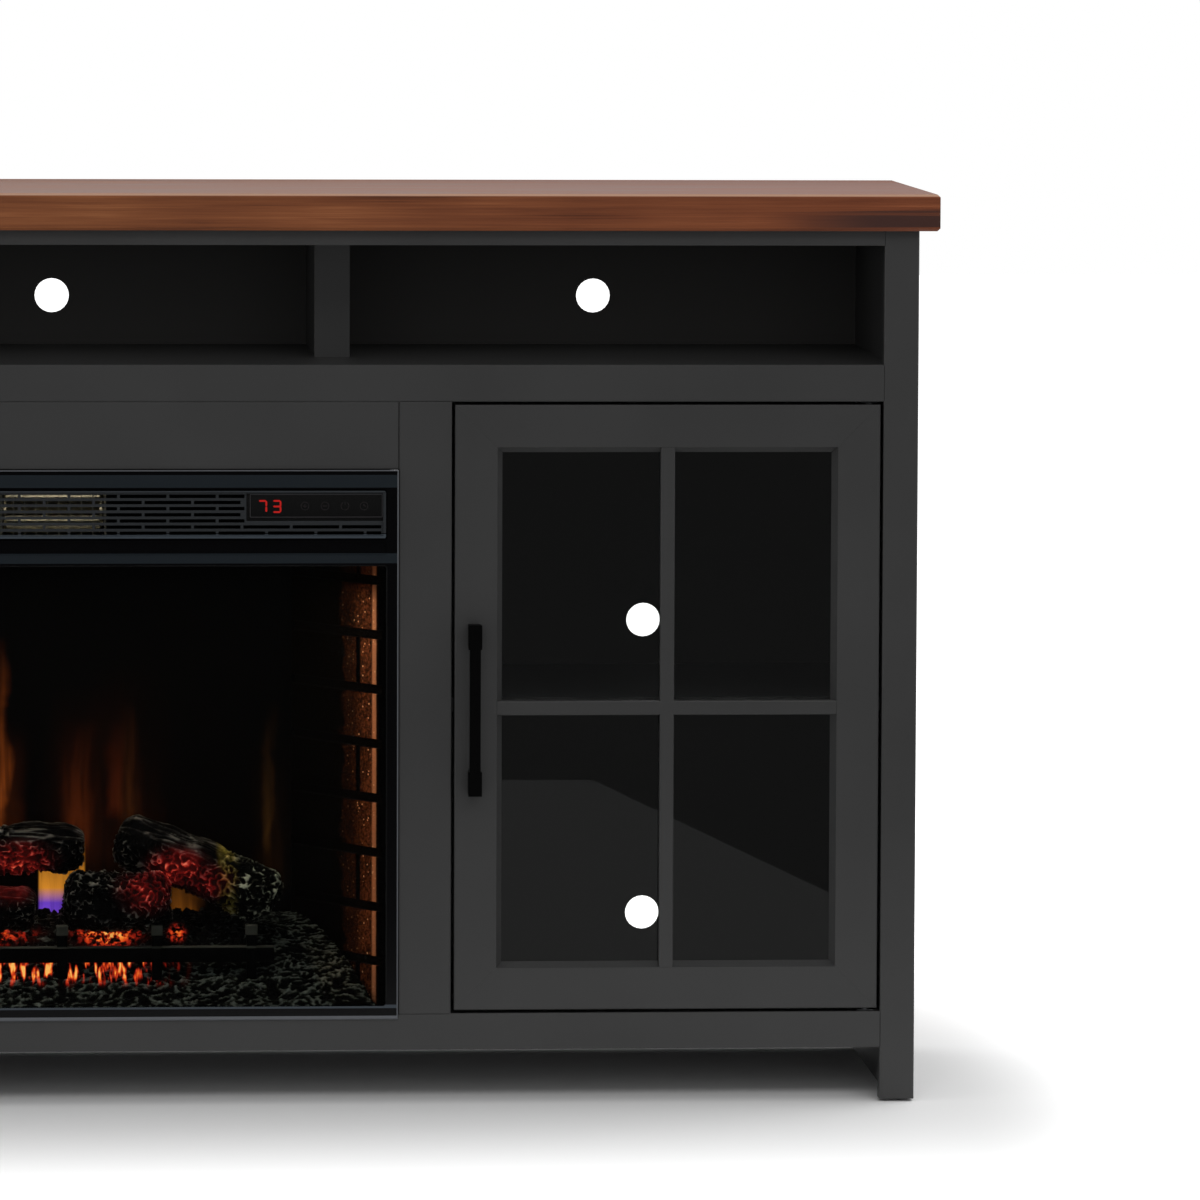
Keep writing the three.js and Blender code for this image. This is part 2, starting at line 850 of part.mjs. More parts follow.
function displayModule() {
  const lensFront = grilleFront + displaySunk;
  const span = (inset) => [
    [displayLeft + inset, fieldHalfWidth - inset],
    [displayBottom + inset, fieldTop - inset],
  ];
  const [lensX, lensZ] = span(grilleFit);
  const [bodyX, bodyZ] = span(displayBodyInset);
  return join([
    block(lensX, [lensFront, lensFront + lensThickness], lensZ),
    block(bodyX, [lensFront + lensThickness / 2, lensFront + displayDepth], bodyZ),
  ]);
}

// Insert housing: folded sheet, open at the front, with a floor under the upper chamber
function insertHousing() {
  const inside = [-wallInner, wallInner];
  const depth = [frontY - overrun, housingBack - sheetThickness];
  const shell = block(
    [-housingHalfWidth, housingHalfWidth],
    [frontY, housingBack],
    [housingBottom, housingTop],
  );
  const backCut = [housingBack - sheetThickness - overrun, housingBack + overrun];
  const chamberMiddle = (chamberFloor + chamberTop) / 2;
  const hollows = [
    block(inside, depth, [fireFloor, fireCeiling]),
    block(inside, depth, [chamberFloor, chamberTop]),
  ];
  for (let i = 0; i < ventCount; i += 1) {
    const x = (i - (ventCount - 1) / 2) * ventPitch;
    const width = [x - ventWidth / 2, x + ventWidth / 2];
    hollows.push(block(width, backCut, [chamberMiddle - ventHeight / 2, chamberMiddle + ventHeight / 2]));
  }
  const glandX = housingHalfWidth - glandInset;
  const glandZ = housingBottom + glandRise;
  const bossFoot = wallInner + sheetThickness / 2;
  const bosses = [-1, 1].map((side) => {
    const ends = ordered(side * (wallInner - bossLength), side * bossFoot);
    return rodAcross(bossRadius, ...ends, flickerY, flickerZ, holeFacets);
  });
  const bores = [-1, 1].map((side) => {
    const ends = ordered(side * (wallInner - bossLength - overrun), side * wallInner);
    return rodAcross(flickerRadius + bearingGap, ...ends, flickerY, flickerZ);
  });
  const glandFront = housingBack - sheetThickness / 2;
  const gland = rodBack(glandRadius, glandFront, housingBack + glandLength, glandX, glandZ);
  const glandBore = rodBack(glandBoreRadius, backCut[0], housingBack + glandLength + overrun, glandX, glandZ);
  const joined = join([cut(shell, hollows), ...bosses, gland]);
  return cut(joined, [...bores, glandBore]);
}

// Blower: a spiral duct with end plates and heater fins across its mouth
function ductWallOutline() {
  const inner = [];
  const outer = [];
  for (let i = 0; i <= scrollSteps; i += 1) {
    const share = i / scrollSteps;
    const angle = -Math.PI / 2 + share * scrollTurnShare * Math.PI * 2;
    const radius = wheelRadius + scrollGap + scrollGrowth * (1 - share);
    inner.push([wheelY + radius * Math.cos(angle), mouthMiddle + radius * Math.sin(angle)]);
    const wide = radius + ductWall;
    outer.push([wheelY + wide * Math.cos(angle), mouthMiddle + wide * Math.sin(angle)]);
  }
  const mouthFloor = mouthMiddle - mouthHeight / 2;
  const front = frontY + ductFront;
  return [[front, mouthFloor], ...inner, ...outer.reverse(), [front, mouthFloor - ductWall]];
}

function blowerDuct() {
  const halfLength = wheelHalfLength + ductEndGap;
  const front = frontY + ductFront;
  const mouthTop = mouthMiddle + mouthHeight / 2;
  const reach = wheelRadius + scrollGap + scrollGrowth + ductWall;
  const lip = wheelY - wheelRadius / 2;
  const pieces = [
    prismAcross(outlineShape(ductWallOutline()), -halfLength - ductWall, halfLength + ductWall),
    prismAcross(
      outlineShape([
        [front, mouthTop],
        [lip, mouthMiddle + wheelRadius + scrollGap],
        [lip, mouthMiddle + wheelRadius + scrollGap + ductWall],
        [front, mouthTop + ductWall],
      ]),
      -halfLength - ductWall,
      halfLength + ductWall,
    ),
  ];
  for (let i = 0; i < finCount; i += 1) {
    const x = (((i + 1) / (finCount + 1)) * 2 - 1) * halfLength;
    pieces.push(
      block(
        [x - finThickness / 2, x + finThickness / 2],
        [front, front + finDepth],
        [mouthMiddle - mouthHeight / 2 - ductWall / 2, mouthTop + ductWall / 2],
      ),
    );
  }
  for (const side of [-1, 1]) {
    const ends = ordered(side * halfLength, side * (halfLength + ductWall));
    pieces.push(block(ends, [front, wheelY + reach], [chamberFloor, mouthMiddle + reach]));
  }
  const bore = rodAcross(
    wheelShaftRadius + bearingGap,
    -halfLength - ductWall - overrun,
    halfLength + ductWall + overrun,
    wheelY,
    mouthMiddle,
  );
  return cut(join(pieces), [bore]);
}

function blowerWheel() {
  const shaftEnd = wheelHalfLength + ductEndGap + ductWall;
  const pieces = [rodAcross(wheelShaftRadius, -shaftEnd, shaftEnd, wheelY, mouthMiddle)];
  for (const side of [-1, 1]) {
    const ends = ordered(side * wheelHalfLength, side * (wheelHalfLength - wheelDiscThickness));
    pieces.push(rodAcross(wheelRadius, ...ends, wheelY, mouthMiddle, holeFacets));
  }
  const middle = wheelRadius - bladeLength / 2 - bladeThickness;
  for (let i = 0; i < wheelBlades; i += 1) {
    const bladeSpan = 2 * wheelHalfLength - wheelDiscThickness;
    const blade = new THREE.BoxGeometry(bladeSpan, bladeLength, bladeThickness);
    blade.rotateX(bladeTiltShare * Math.PI * 2).translate(0, middle, 0);
    blade.rotateX((i / wheelBlades) * Math.PI * 2).translate(0, wheelY, mouthMiddle);
    pieces.push(blade);
  }
  return join(pieces);
}

// Firebox
function flameScreen() {
  return block(
    [-screenHalfWidth, screenHalfWidth],
    [frontY + screenSetback, frontY + screenSetback + screenThickness],
    [fireFloor, fireCeiling - screenTopGap],
  );
}

// The brick side: courses moulded in a plate that runs back and inwards to the flame screen
function brickPanel() {
  const run = brickFrontHalfWidth - screenHalfWidth - seamGap;
  const depth = screenSetback - brickFrontSetback;
  const length = Math.hypot(run, depth);
  const height = fireCeiling - fireFloor - screenTopGap;
  const half = brickJoint / 2;
  const draft = brickJointDepth / 4;
  const section = [
    [-brickThickness, 0],
    [0, 0],
  ];
  for (let z = firstJointRise; z + half < height; z += brickCourse) {
    section.push([0, z - half], [-brickJointDepth, z - half + draft]);
    section.push([-brickJointDepth, z + half - draft], [0, z + half]);
  }
  section.push([0, height], [-brickThickness, height]);
  const heads = [];
  for (let z = firstJointRise - brickCourse; z + brickJoint < height; z += 2 * brickCourse) {
    heads.push(
      block(
        [headJointSetback, headJointSetback + headJointWidth],
        [-brickJointDepth, overrun],
        [z, Math.min(z + brickCourse, height - half)],
      ),
    );
  }
  const panel = cut(prismAcross(outlineShape(section), 0, length), heads);
  panel.rotateZ(Math.PI - Math.atan2(depth, run));
  return panel.translate(brickFrontHalfWidth, frontY + brickFrontSetback, fireFloor);
}

// How far the side wall of the firebox stands from the middle at a depth behind the front
function fireHalfWidth(depth) {
  const share = (depth - brickFrontSetback) / (screenSetback - brickFrontSetback);
  return brickFrontHalfWidth + (screenHalfWidth - brickFrontHalfWidth) * share;
}

// Crossing waves that make an uneven surface, between -1 and 1
function lumps(x, y) {
  let sum = 0;
  for (const [alongShare, acrossShare] of lumpShares) {
    sum += Math.sin((x * alongShare + y * acrossShare) / lumpPitch);
  }
  return sum / lumpShares.length;
}

// The moulded ember bed with the grate bar and its posts standing in it, hollowed under the logs
function emberBed(logs) {
  const rowDepth = (screenSetback - emberSetback - emberSideGap) / emberRows;
  const top = [];
  const bottom = [];
  for (let row = 0; row <= emberRows; row += 1) {
    const depth = emberSetback + row * rowDepth;
    const half = fireHalfWidth(depth) - emberSideGap;
    const rise = Math.sin((row / emberRows) * (Math.PI / 2));
    for (let column = 0; column <= emberColumns; column += 1) {
      const x = ((column / emberColumns) * 2 - 1) * half;
      const height = emberFrontHeight + (emberBackHeight - emberFrontHeight) * rise;
      const z = fireFloor + height + emberLump * rise * lumps(x, depth);
      top.push(new THREE.Vector3(x, frontY + depth, z));
      bottom.push(new THREE.Vector3(x, frontY + depth, fireFloor));
    }
  }
  const wide = emberColumns + 1;
  const under = top.length;
  const faces = [];
  for (let row = 0; row < emberRows; row += 1) {
    for (let column = 0; column < emberColumns; column += 1) {
      const a = row * wide + column;
      faces.push(a, a + 1, a + wide + 1, a, a + wide + 1, a + wide);
    }
  }
  const rim = [];
  for (let column = 0; column < emberColumns; column += 1) rim.push(column);
  for (let row = 0; row < emberRows; row += 1) rim.push(row * wide + emberColumns);
  for (let column = emberColumns; column > 0; column -= 1) rim.push(emberRows * wide + column);
  for (let row = emberRows; row > 0; row -= 1) rim.push(row * wide);
  rim.forEach((a, i) => {
    const b = rim[(i + 1) % rim.length];
    faces.push(a, under + b, b, a, under + a, under + b);
  });
  const floor = THREE.ShapeUtils.triangulateShape(
    rim.map((i) => new THREE.Vector2(bottom[i].x, bottom[i].y)),
    [],
  );
  for (const [a, b, c] of floor) {
    faces.push(under + rim[c], under + rim[b], under + rim[a]);
  }
  const bed = new THREE.BufferGeometry().setFromPoints([...top, ...bottom]);
  bed.setIndex(faces);
  const barTop = fireFloor + grateBarRise + grateBarHeight;
  const bar = block(
    [-grateHalfWidth, grateHalfWidth],
    [frontY + grateSetback - grateBarDepth, frontY + grateSetback],
    [fireFloor + grateBarRise, barTop],
  );
  const posts = [];
  for (let i = -gratePostsEachWay; i <= gratePostsEachWay; i += 1) {
    const x = grateOffset + i * gratePostPitch;
    posts.push(
      block(
        [x - gratePostWidth / 2, x + gratePostWidth / 2],
        [frontY + grateSetback - gratePostWidth, frontY + grateSetback + overrun],
        [fireFloor + overrun, postTop],
      ),
    );
  }
  return cut(join([bed, bar, ...posts]), logs);
}

// A log along a smooth line through its places, with bark ridges and eased ends
function logAlong(shares, coreRadius, extra) {
  const radius = coreRadius + extra;
  const line = new THREE.CatmullRomCurve3(
    shares.map(
      ([right, up, back]) =>
        new THREE.Vector3(
          right * screenHalfWidth,
          postMiddle + back * (screenSetback - grateSetback),
          postTop + up * logSpacing,
        ),
    ),
  );
  const frames = line.computeFrenetFrames(logRings, false);
  const rings = [];
  for (let i = 0; i <= logRings; i += 1) {
    const centre = line.getPointAt(i / logRings);
    const whichEnd = i === 0 ? -1 : Number(i === logRings);
    centre.addScaledVector(frames.tangents[i], whichEnd * extra);
    const endShare = whichEnd === 0 ? 1 : logEndShare;
    const ring = [];
    for (let side = 0; side < logSides; side += 1) {
      const angle = (side / logSides) * Math.PI * 2;
      const ridge = logBark * Math.sin(angle * logRidges + i * logTwistShare * Math.PI * 2);
      const reach = (radius + ridge) * endShare;
      const point = centre.clone().addScaledVector(frames.normals[i], Math.cos(angle) * reach);
      ring.push(point.addScaledVector(frames.binormals[i], Math.sin(angle) * reach));
    }
    rings.push(ring);
  }
  const outline = rings[0].map((_, side) => {
    const angle = (side / logSides) * Math.PI * 2;
    return new THREE.Vector2(Math.cos(angle), Math.sin(angle));
  });
  return loft(rings, outline);
}

// Each log can be made a little larger all round, to hollow what lies against it with a small gap
function frontLog(extra = 0) {
  return logAlong(logFrontShares, logFrontRadius, extra);
}

function leftLogs(extra = 0) {
  return join([
    logAlong(logLeftShares, logLeftRadius, extra),
    logAlong(logLowShares, logLowRadius, extra),
  ]);
}

function rightLog(extra = 0) {
  return logAlong(logRightShares, logRightRadius, extra);
}

function flickerRod() {
  const end = wallInner - flickerEndGap;
  const pieces = [rodAcross(flickerRadius, -end, end, flickerY, flickerZ)];
  for (let i = 0; i < flickerLeafCount; i += 1) {
    const x = (i - (flickerLeafCount - 1) / 2) * flickerLeafPitch;
    const leaf = new THREE.BoxGeometry(flickerLeafWidth, 2 * flickerLeafRadius, flickerLeafThickness);
    leaf.rotateX(i * flickerTurnShare * Math.PI * 2).translate(x, flickerY, flickerZ);
    pieces.push(leaf);
  }
  return join(pieces);
}

// Assembly
const stand = new THREE.Group();
const rightHalf = new THREE.Group();
const leftHalf = new THREE.Group();
leftHalf.scale.x = -1;
stand.add(rightHalf, leftHalf);

function add(name, geometry, material, group = stand) {
  const mesh = new THREE.Mesh(geometry, material);
  mesh.name = name;
  group.add(mesh);
}

// The same piece on the right and mirrored on the left
function addPair(name, geometry, material) {
  add("right_" + name, geometry, material, rightHalf);
  add("left_" + name, geometry, material, leftHalf);
}

add("top_board", topBoard(), wood);
add("sub_top", subTop(), paint);
add(
  "cubby_shelf",
  block([-sideInner, sideInner], [frameBack, backFace], [cubbyFloor - shelfThickness, cubbyFloor]),
  paint,
);
add("mid_rail", levelBar(stileInner, midRailBottom, cubbyFloor), paint);
add("fascia_panel", fasciaPanel(), paint);
add(
  "bottom_panel",
  block([-sideInner, sideInner], [frameBack, backFace], [bottomRailTop - shelfThickness, bottomRailTop]),
  paint,
);
add("bottom_rail", levelBar(stileInner, toeHeight, bottomRailTop), paint);
add("rear_rail", rearRail(), paint);
add("back_panel_upper", upperBack(), hardboard);
addPair("side_panel", sidePanel(), paint);
addPair("front_stile", uprightBar(stileInner, halfBody, glideHeight, carcassHeight), paint);
addPair("post", uprightBar(postInner, postOuter, bottomRailTop, midRailBottom), paint);
addPair("partition", partition(), paint);
addPair(
  "cubby_divider",
  block([dividerInner, dividerOuter], [frontY + dividerSetback, backFace], [cubbyFloor, subTopBottom]),
  paint,
);
addPair("shelf", looseShelf(), paint);
addPair("back_panel", lowerBack(), hardboard);
addPair("front_glide", glide(frontY + glideInset), nylon);
addPair("rear_glide", glide(backFace - glideInset), nylon);

addPair("door_hinge_stile", hingeStile(), paint);
addPair("door_lock_stile", lockStile(), paint);
addPair("door_top_rail", doorTopRail(), paint);
addPair("door_bottom_rail", doorBottomRail(), paint);
addPair("door_muntin_grille", muntinGrille(), paint);
addPair("door_glass", doorGlass(), clearGlass);
addPair("door_handle", handle(), blackMetal);
addPair("upper_pivot", pivot(midRailBottom, doorTop), steel);
addPair("lower_pivot", pivot(bottomRailTop, doorBottom), steel);

add("insert_trim", insertTrim(), plastic);
add("insert_glass", insertGlass(), smokedGlass);
add("louvre_grille", louvreGrille(), plastic);
add("display_module", displayModule(), plastic);
add("insert_housing", insertHousing(), sheetMetal);
add("blower_duct", blowerDuct(), heaterMetal);
add("blower_wheel", blowerWheel(), sheetMetal);
add("flame_screen", flameScreen(), smokedGlass);
addPair("brick_panel", brickPanel(), brickCast);
add("log_front", frontLog(), barkCast);
add("log_left", cut(leftLogs(), [frontLog(logSeatGap)]), barkCast);
add("log_right", cut(rightLog(), [frontLog(logSeatGap), leftLogs(logSeatGap)]), barkCast);
add(
  "ember_bed",
  emberBed([frontLog(logSeatGap), leftLogs(logSeatGap), rightLog(logSeatGap)]),
  ashCast,
);
add("flicker_rod", flickerRod(), mirrorStrip);

export default stand;
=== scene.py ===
import math
import bmesh
import bpy
from mathutils import Matrix, Vector, noise


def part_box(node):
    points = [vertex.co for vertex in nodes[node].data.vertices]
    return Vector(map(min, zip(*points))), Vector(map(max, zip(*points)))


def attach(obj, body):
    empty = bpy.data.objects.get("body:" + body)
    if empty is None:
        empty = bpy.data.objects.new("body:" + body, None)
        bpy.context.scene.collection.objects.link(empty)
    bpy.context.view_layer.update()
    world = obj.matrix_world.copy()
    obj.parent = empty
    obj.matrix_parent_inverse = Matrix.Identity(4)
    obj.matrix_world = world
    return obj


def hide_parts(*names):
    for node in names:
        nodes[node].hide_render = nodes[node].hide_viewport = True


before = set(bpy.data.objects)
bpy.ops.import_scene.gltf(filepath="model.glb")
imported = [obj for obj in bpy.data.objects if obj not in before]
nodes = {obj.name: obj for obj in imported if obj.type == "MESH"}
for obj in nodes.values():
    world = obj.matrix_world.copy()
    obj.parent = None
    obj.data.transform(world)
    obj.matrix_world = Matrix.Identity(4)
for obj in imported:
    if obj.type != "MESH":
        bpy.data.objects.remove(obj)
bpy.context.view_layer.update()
scene = bpy.context.scene
scene.view_settings.view_transform = "Standard"
noise.seed_set(5)  # noise_vector drifts from run to run without it


def toLinear(hexColour):
    channels = [int(hexColour[i:i + 2], 16) / 255 for i in (1, 3, 5)]
    linear = [c / 12.92 if c <= 0.04045 else ((c + 0.055) / 1.055) ** 2.4 for c in channels]
    return (*linear, 1.0)


# an input given as text is a hex colour
def addNode(tree, kind, settings=None, inputs=None):
    node = tree.nodes.new(kind)
    for name, value in (settings or {}).items():
        setattr(node, name, value)
    for key, value in (inputs or {}).items():
        if isinstance(value, bpy.types.NodeSocket):
            tree.links.new(value, node.inputs[key])
        else:
            node.inputs[key].default_value = toLinear(value) if isinstance(value, str) else value
    return node


# a node in the tree that its first linked input belongs to, and its outputs
def grow(kind, settings, inputs):
    tree = next(value.id_data for value in inputs.values() if isinstance(value, bpy.types.NodeSocket))
    return addNode(tree, kind, settings, inputs).outputs


def calc(operation, *values):
    return grow("ShaderNodeMath", {"operation": operation}, dict(enumerate(values)))[0]


def vectorCalc(operation, *values):
    outputs = grow("ShaderNodeVectorMath", {"operation": operation}, dict(enumerate(values)))
    return outputs["Value" if operation in ("DOT_PRODUCT", "LENGTH") else "Vector"]


def scaled(vector, factor):
    return grow("ShaderNodeVectorMath", {"operation": "SCALE"}, {0: vector, "Scale": factor})[0]


def times(*factors):
    total = factors[0]
    for factor in factors[1:]:
        total = calc("MULTIPLY", total, factor)
    return total


def mapped(value, low, high, toLow=0.0, toHigh=1.0, kind="LINEAR"):
    return grow("ShaderNodeMapRange", {"interpolation_type": kind}, {
        "Value": value, "From Min": low, "From Max": high, "To Min": toLow, "To Max": toHigh})[0]


def masked(value, low, high, toLow=0.0, toHigh=1.0):
    return mapped(value, low, high, toLow, toHigh, "SMOOTHSTEP")


def split(vector):
    return list(grow("ShaderNodeSeparateXYZ", None, {0: vector}))


def noiseAt(place, scale, detail=2, roughness=0.5, distortion=0.0):
    return grow("ShaderNodeTexNoise", None, {"Vector": place, "Scale": scale, "Detail": detail,
                                             "Roughness": roughness, "Distortion": distortion})[0]


def stretched(place, scale):
    return grow("ShaderNodeMapping", None, {"Vector": place, "Scale": scale})[0]


# colour ramp from (place, hex colour) pairs
def ramp(value, *stops):
    node = addNode(value.id_data, "ShaderNodeValToRGB", None, {"Fac": value})
    marks = node.color_ramp.elements
    for mark, (place, hexColour) in ((marks[0], stops[0]), (marks[1], stops[-1])):
        mark.position, mark.color = place, toLinear(hexColour)
    for place, hexColour in stops[1:-1]:
        marks.new(place).color = toLinear(hexColour)
    return node.outputs[0]


def blend(share, first, second, kind="MIX"):
    settings = {"data_type": "RGBA", "blend_type": kind}
    return grow("ShaderNodeMix", settings, {0: share, 6: first, 7: second})[2]


def between(share, first, second):
    return grow("ShaderNodeMix", {"data_type": "FLOAT"}, {0: share, 2: first, 3: second})[0]


def wire(shader, name, value):
    shader.id_data.links.new(value, shader.inputs[name])


def emptyTree(owner):
    owner.use_nodes = True
    owner.node_tree.nodes.clear()
    return owner.node_tree


def startFinish(name, roughness=0.5, specular=0.5, others=None):
    finish = bpy.data.materials.new(name)
    tree = emptyTree(finish)
    inputs = {"Roughness": roughness, "Specular IOR Level": specular, **(others or {})}
    shader = addNode(tree, "ShaderNodeBsdfPrincipled", None, inputs)
    addNode(tree, "ShaderNodeOutputMaterial", None, {"Surface": shader.outputs[0]})
    return finish, shader, addNode(tree, "ShaderNodeTexCoord").outputs["Object"]


# the colour, and a bump from its strength, depth and height
def endFinish(finish, shader, colour, *bump):
    wire(shader, "Base Color", colour)
    if bump:
        inputs = dict(zip(("Strength", "Distance", "Height"), bump))
        wire(shader, "Normal", grow("ShaderNodeBump", None, inputs)[0])
    return finish


def dress(finish, *names):
    for name in names:
        if not nodes[name].material_slots:
            nodes[name].data.materials.append(finish)
        for each in nodes[name].material_slots:
            each.material = finish


def placed(name, data):
    thing = bpy.data.objects.new(name, data)
    scene.collection.objects.link(thing)
    return thing


def newPiece(name, mesh, finish, body):
    piece = placed(name, mesh)
    mesh.materials.clear()
    mesh.materials.append(finish)
    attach(piece, body)
    return piece


def meshFrom(name, form, smooth=False):
    mesh = bpy.data.meshes.new(name)
    form.to_mesh(mesh)
    form.free()
    for face in mesh.polygons:
        face.use_smooth = smooth
    return mesh


def closedMesh(name, form):
    bmesh.ops.recalc_face_normals(form, faces=form.faces)
    return meshFrom(name, form)


# result of the live modifiers as a plain mesh, the helper object is removed
def settledMesh(helper):
    depsgraph = bpy.context.evaluated_depsgraph_get()
    mesh = bpy.data.meshes.new_from_object(helper.evaluated_get(depsgraph))
    bpy.data.objects.remove(helper)
    return mesh


# node tree with named inputs, from their names and kinds
def startTree(name, kinds):
    tree = bpy.data.node_groups.new(name, "GeometryNodeTree")
    for label, kind in kinds.items():
        tree.interface.new_socket(label, in_out="INPUT", socket_type="NodeSocket" + kind)
    tree.interface.new_socket("Geometry", in_out="OUTPUT", socket_type="NodeSocketGeometry")
    return tree, addNode(tree, "NodeGroupInput").outputs


def endTree(instances, finish):
    real = grow("GeometryNodeRealizeInstances", None, {0: instances})[0]
    finished = grow("GeometryNodeSetMaterial", None, {"Geometry": real, "Material": finish})[0]
    grow("NodeGroupOutput", None, {0: finished})


# what the tree makes of a mesh, its named inputs set by their identifiers
def grownMesh(mesh, tree, values):
    helper = placed("helper", mesh)
    modifier = helper.modifiers.new("grow", "NODES")
    modifier.node_group = tree
    for item in tree.interface.items_tree:
        if item.item_type == "SOCKET" and item.in_out == "INPUT" and item.name in values:
            modifier[item.identifier] = values[item.name]
    return settledMesh(helper)


cameraView = {
    "place": (-0.0239, -8.8295, 1.2649),
    "turnRight": 4.0124,  # degrees from straight on
    "tiltDown": 4.7921,
    "roll": 0.2219,
    "lens": 244.355,
}


def placeCamera():
    turn, tilt, roll = (math.radians(cameraView[k]) for k in ("turnRight", "tiltDown", "roll"))
    ahead = Vector((math.sin(turn) * math.cos(tilt), math.cos(turn) * math.cos(tilt), -math.sin(tilt)))
    level = Vector((math.cos(turn), -math.sin(turn), 0))
    upright = level.cross(ahead)
    right = level * math.cos(roll) + upright * math.sin(roll)
    above = upright * math.cos(roll) - level * math.sin(roll)
    lens = bpy.data.cameras.new("camera")
    lens.sensor_width = 36
    lens.lens = cameraView["lens"]
    lens.clip_end = 100
    camera = placed("camera", lens)
    turned = Matrix((right, above, -ahead)).transposed().to_4x4()
    camera.matrix_world = Matrix.Translation(cameraView["place"]) @ turned
    scene.camera = camera


placeCamera()
print("camera placed")

studio = {
    "dome": 0.52,
    # name, place, point that it faces, width and height, watts
    "lamps": [
        ("overheadSoftbox", (1.3, 0.55, 4.0), (1.3, 0.55, 0), (3.6, 1.5), 60),
        ("frontFill", (0, -7, 1.6), (0, 0, 0.5), (5, 2.2), 62),
        ("highFrontFill", (1.0, -4.6, 3.0), (0.2, 0, 0.6), (4, 1.2), 62),
        ("cubbyFill", (0, -0.03, 0.9165), (0, -0.03, 0.79), (1.74, 0.3), 0.42),
    ],
    "floorSize": 40,
    "footprint": (0.94, 0.235, 0),  # half sizes of the floor that stays unlifted
    "fade": (0.08, 1.15),  # m from the cabinet over which the bare floor goes to white
    "sideways": 3.2,  # how many times sooner it does so at the ends
    "lift": 0.85,
    "flagTone": 0.065,  # the dark room in front of the panes
    "cardTone": 0.18,  # the paler patch of its floor
    "rearTone": 0.01,
    "flagNear": -0.85, "flagFar": -15.0, "flagHalf": 9.0, "flagLift": 0.012, "roomHeight": 7,
    "sideFlag": (1.2, 9.0, 0.2, 0.011),  # inner and outer x, rear y, height
    "rearFlag": (1.1, 0.32, 0.01, 1.0),  # half width, y, low and high z
    "cardCorners": [(0.5, -3.23), (0.784, -3.23), (0.891, -2.53), (0.998, -1.824), (1.17, -0.85),
                    (0.5, -0.85)],
}


def seenDirectly(tree):
    path = addNode(tree, "ShaderNodeLightPath").outputs
    first = calc("MAXIMUM", path["Is Camera Ray"], path["Is Glossy Ray"])
    return calc("MAXIMUM", first, path["Is Transmission Ray"])


def plate(name, corners, finish):
    form = bmesh.new()
    form.faces.new([form.verts.new(corner) for corner in corners])
    mesh = meshFrom(name, form)
    mesh.materials.append(finish)
    sheet = placed(name, mesh)
    return sheet


def hiddenFrom(thing, *rays):
    for kind in rays:
        setattr(thing, "visible_" + kind, False)
    return thing


# a flag that only reflections see
def mirroredOnly(name, corners, tone):
    finish = bpy.data.materials.new(name)
    tree = emptyTree(finish)
    glow = addNode(tree, "ShaderNodeEmission", None, {"Color": (tone, tone, tone, 1), "Strength": 1})
    grow("ShaderNodeOutputMaterial", None, {"Surface": glow.outputs[0]})
    return hiddenFrom(plate(name, corners, finish), "camera", "diffuse", "volume_scatter", "shadow")


def softbox(name, place, aim, size, power, hexColour="#ffffff"):
    light = bpy.data.lights.new(name, "AREA")
    light.shape = "RECTANGLE"
    light.size, light.size_y = size
    light.energy = power
    light.color = toLinear(hexColour)[:3]
    lamp = placed(name, light)
    lamp.location = place
    lamp.rotation_euler = (Vector(aim) - Vector(place)).to_track_quat("-Z", "Y").to_euler()
    return hiddenFrom(lamp, "camera", "glossy", "transmission")


def lightStudio():
    world = bpy.data.worlds.new("studioDome")
    scene.world = world
    tree = emptyTree(world)
    strength = mapped(seenDirectly(tree), 0, 1, studio["dome"], 1.0)
    dome = addNode(tree, "ShaderNodeBackground", None, {"Color": (1, 1, 1, 1), "Strength": strength})
    addNode(tree, "ShaderNodeOutputWorld", None, {"Surface": dome.outputs[0]})
    for lamp in studio["lamps"]:
        softbox(*lamp)


# white floor, its bare part lifted to the backdrop's white where it is seen
def layFloor():
    finish, shader, place = startFinish("pale studio floor", roughness=0.9, specular=0, others={
        "Base Color": "#ffffff", "Emission Color": "#ffffff"})
    outside = vectorCalc("SUBTRACT", vectorCalc("ABSOLUTE", place), studio["footprint"])
    clear = vectorCalc("MAXIMUM", outside, (0, 0, 0))
    away = vectorCalc("LENGTH", vectorCalc("MULTIPLY", clear, (studio["sideways"], 1, 1)))
    lift = masked(away, *studio["fade"], 0, studio["lift"])
    wire(shader, "Emission Strength", times(lift, seenDirectly(finish.node_tree)))
    half = studio["floorSize"] / 2
    plate("studioFloor", [(-half, -half, 0), (half, -half, 0), (half, half, 0), (-half, half, 0)], finish)


# the dark room that the panes mirror, with a paler patch of its floor to the right
def hangFlags():
    near, far, wide, low = (studio[k] for k in ("flagNear", "flagFar", "flagHalf", "flagLift"))
    high, tone = studio["roomHeight"], studio["flagTone"]
    ground = [(-wide, far, low), (wide, far, low), (wide, near, low), (-wide, near, low)]
    mirroredOnly("darkFloorFlag", ground, tone)
    wall = [(-wide, far, 0), (-wide, far, high), (wide, far, high), (wide, far, 0)]
    mirroredOnly("darkRoomFlag", wall, tone)
    inner, outer, rear, sideLift = studio["sideFlag"]
    outline = ((inner, near), (outer, near), (outer, rear), (inner, rear))
    for side in (-1, 1):
        mirroredOnly("sideFloorFlag", [(side * x, y, sideLift) for x, y in outline], tone)
    half, y, foot, top = studio["rearFlag"]
    behind = mirroredOnly("rearFlag", [(-half, y, foot), (half, y, foot), (half, y, top), (-half, y, top)],
                          studio["rearTone"])
    behind.visible_transmission = False
    card = [(x, y, low * 2) for x, y in reversed(studio["cardCorners"])]
    mirroredOnly("paleFloorCard", card, studio["cardTone"])


lightStudio()
layFloor()
hangFlags()
print("studio lit")

